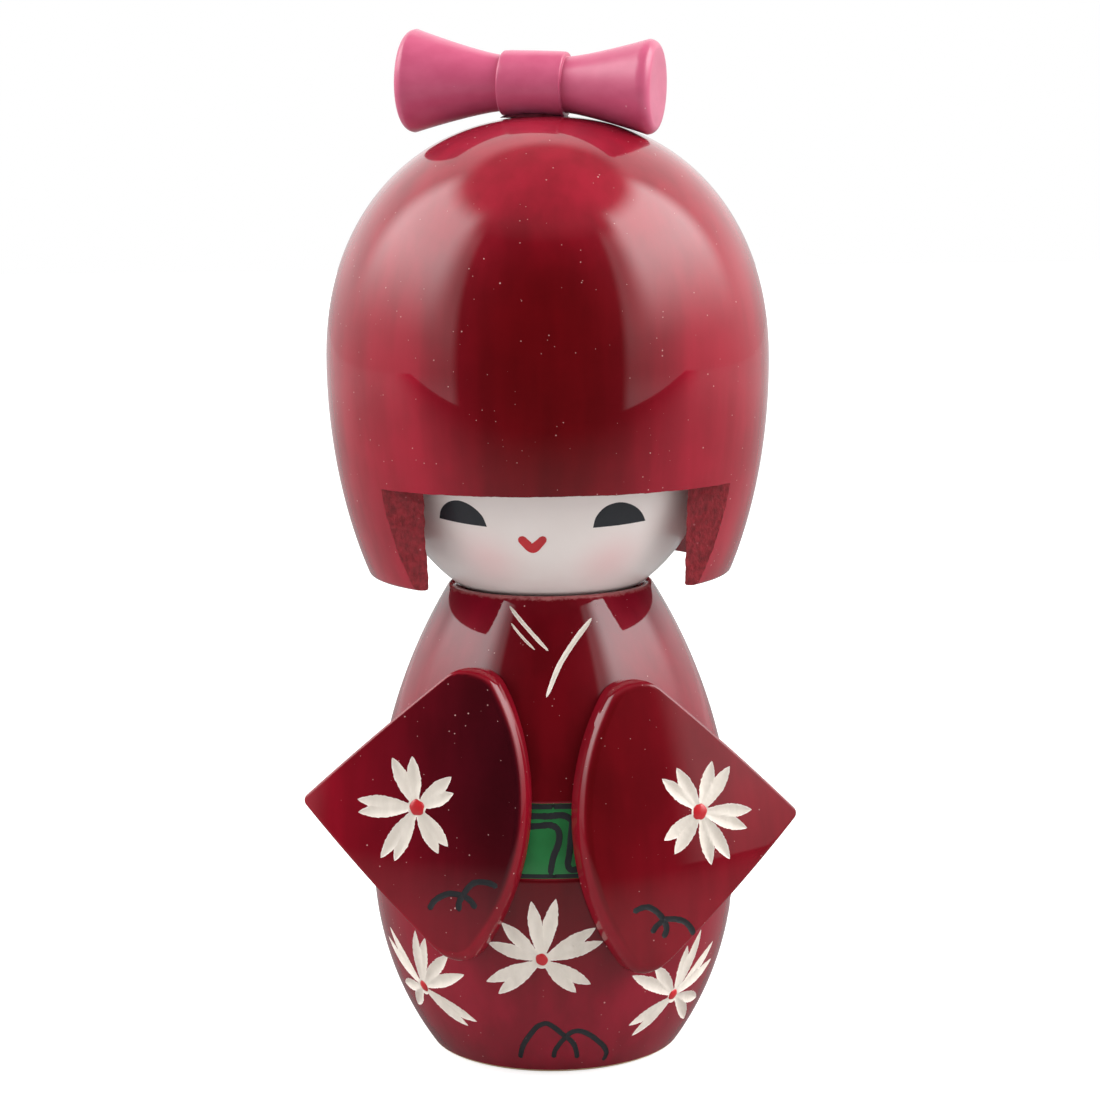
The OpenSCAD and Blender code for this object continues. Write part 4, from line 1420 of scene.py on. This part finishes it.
# %% Build the hair cap
def nearest_normals(points, profile):
    """Normals of a turned profile at points on its surface, by the nearest place on the profile."""
    normal = profile_normals(profile)
    flat = np.column_stack([np.hypot(points[:, 0], points[:, 1]), points[:, 2]])
    best, out = np.full(len(flat), 1e9), np.zeros((len(flat), 2))
    for a, b, na, nb in zip(profile[:-1], profile[1:], normal[:-1], normal[1:]):
        step = b - a
        t = np.clip(((flat - a) @ step) / max(step @ step, 1e-12), 0, 1)[:, None]
        distance = np.linalg.norm(flat - a - t * step, axis=1)
        closer = distance < best
        best = np.where(closer, distance, best)
        out[closer] = (na + (nb - na) * t)[closer]
    way = points[:, :2] / np.maximum(np.hypot(points[:, 0], points[:, 1]), 1e-6)[:, None]
    arrows = np.column_stack([way * out[:, :1], out[:, 1]])
    return arrows / np.linalg.norm(arrows, axis=1)[:, None]


blank = Skin("hair_blank", {"lacquer": hair_red})
points, faces, corner = lathe(hair_profile)
blank.add(points, faces, "lacquer", corner)
blank_piece = blank.build()
cutter = window_cutter()
cut = blank_piece.modifiers.new("window", "BOOLEAN")
cut.object, cut.solver, cut.operation, cut.material_mode = cutter, "EXACT", "DIFFERENCE", "TRANSFER"
bpy.context.view_layer.update()
sawn = bpy.data.meshes.new_from_object(blank_piece.evaluated_get(bpy.context.evaluated_depsgraph_get()))
sawn.name = "hair"
for leftover in (blank_piece, cutter):
    bpy.data.objects.remove(leftover)

work = bmesh.new()
work.from_mesh(sawn)
bmesh.ops.triangulate(work, faces=work.faces)
bmesh.ops.remove_doubles(work, verts=work.verts, dist=1e-6)
work.to_mesh(sawn)
work.free()
print("hair finishes:", [m.name for m in sawn.materials], "faces:", len(sawn.polygons))
co = np.array([v.co for v in sawn.vertices]) / MM
tri = np.array([tuple(p.vertices) for p in sawn.polygons])
rough_face = np.array([sawn.materials[p.material_index] == cut_wood for p in sawn.polygons])
arrows = np.zeros((len(tri), 3, 3))
arrows[~rough_face] = nearest_normals(co, hair_profile)[tri[~rough_face]]
arrows[rough_face] = creased(co, tri[rough_face], 50)
wanted = sawn.attributes.new("wanted", "FLOAT_VECTOR", "CORNER")
wanted.data.foreach_set("vector", arrows.astype(np.float32).ravel())
hair_piece = finish_mesh(sawn)
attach(hair_piece, "head")
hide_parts("hair_cap")

# %% [markdown]
# ## Bow
# The bow is a spool turned from one stick: two flares and a band in the middle for the knot. It is
# painted pink, and glued and pinned on the crown. A dark bead under the knot is painted shade, where
# the bow blocks the light on the crown.

# %% Build the bow
BOW_NECK_R, BOW_KNOT_R, BOW_KNOT_W, BOW_EDGE = 3.35, 4.0, 8.0, 1.2
BOW_X, BOW_TURN, BOW_TILT, BOW_FLAT, FLARE_POWER = -1.1, -15, 2.5, 0.1, 1.25
# Length from the middle and radius of the end, for each half
BOW_SIDES = {"left": (16.4, 6.28), "right": (15.4, 5.7)}


def half_bow(length, end_r):
    """The profile of one half, from the middle of the knot to the middle of the end."""
    s = np.linspace(0, 1, 16)
    flare = np.column_stack([BOW_NECK_R + (end_r - BOW_NECK_R) * s**FLARE_POWER,
                             BOW_KNOT_W / 2 + (length - BOW_EDGE - BOW_KNOT_W / 2) * s])
    knot_edge = [(BOW_KNOT_R, BOW_KNOT_W / 2 - 0.9), (BOW_KNOT_R - 0.06, BOW_KNOT_W / 2)]
    knot = rounded([*knot_edge, flare[0], flare[2]], (0.4, 0.12), 6)
    edge = arc(end_r - BOW_EDGE, length - BOW_EDGE, BOW_EDGE - 0.03, 15, 84, 10)
    end_face = [(end_r - 2.2, length - 0.05), (0, length - 0.1)]
    return np.vstack([[(BOW_KNOT_R + 0.02, 0)], knot, flare[3:], edge, end_face])


left_half, right_half = (half_bow(*BOW_SIDES[side_name]) for side_name in ("left", "right"))
bow_profile = np.vstack([(left_half * [1, -1])[::-1], right_half[1:]])
bow_place = (Matrix.Translation((BOW_X, 0, CROWN_Z + BOW_KNOT_R - BOW_FLAT))
             @ Matrix.Rotation(math.radians(BOW_TURN), 4, "Z")
             @ Matrix.Rotation(math.radians(90 + BOW_TILT), 4, "Y"))
bow = Skin("bow_spool", {"bow": bow_paint})
points, faces, corner = lathe(bow_profile, 128)
bow.add(points, faces, "bow", corner)
bow_piece = bow.build(bow_place)
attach(bow_piece, "head")
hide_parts("bow")

# %% Painted shade under the knot
# Radius and height above the crown, from the bead's edge to under the knot
SHADE_BEAD_RINGS = [(4.3, -0.12), (3.9, 0.06), (3.3, 0.2), (2.6, 0.34), (1.8, 0.5), (0, 0.5)]
# The bead is painted shade where the bow blocks the light on the crown
glue = Skin("bow_painted_shade", {"glue": bow_shade_paint})
points, faces, _ = lathe(SHADE_BEAD_RINGS, 48)
swell = np.array([1 + 0.22 * noise.noise(Vector((x, y, 0.4))) for x, y, _ in points])
points = points * np.column_stack([swell, 0.8 * swell, np.ones(len(points))])
points = points + np.array([BOW_X, 0, CROWN_Z])
faces = np.array([f for a, b, c, d in faces for f in ((a, b, c), (a, c, d))])
glue.add(points, faces, "glue", creased(points, faces, 80))
shade_bead_piece = glue.build()
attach(shade_bead_piece, "head")

# %% [markdown]
# ## Bare wood inside
# Four dowels hold the doll together and are never seen: the neck dowel that the head turns on,
# the pin under the bow and a peg in each sleeve. They are plain pale wood with a long grain.

# %% Wood for the dowels
for node_name in ("neck_dowel", "bow_pin", "sleeve_left_peg", "sleeve_right_peg"):
    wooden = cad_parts[node_name]
    wooden.data.materials.clear()
    wooden.data.materials.append(bare_wood)
    print("bare wood on", node_name)

# %% [markdown]
# The looks must not change the size. The CAD box and the box of the finished model are written
# side by side.

# %% Sizes, and the end
look_low, look_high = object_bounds()
for label, low, high in (("CAD", cad_low, cad_high), ("look", look_low, look_high)):
    print(label, [round(v / MM, 2) for v in (*low, *high)])
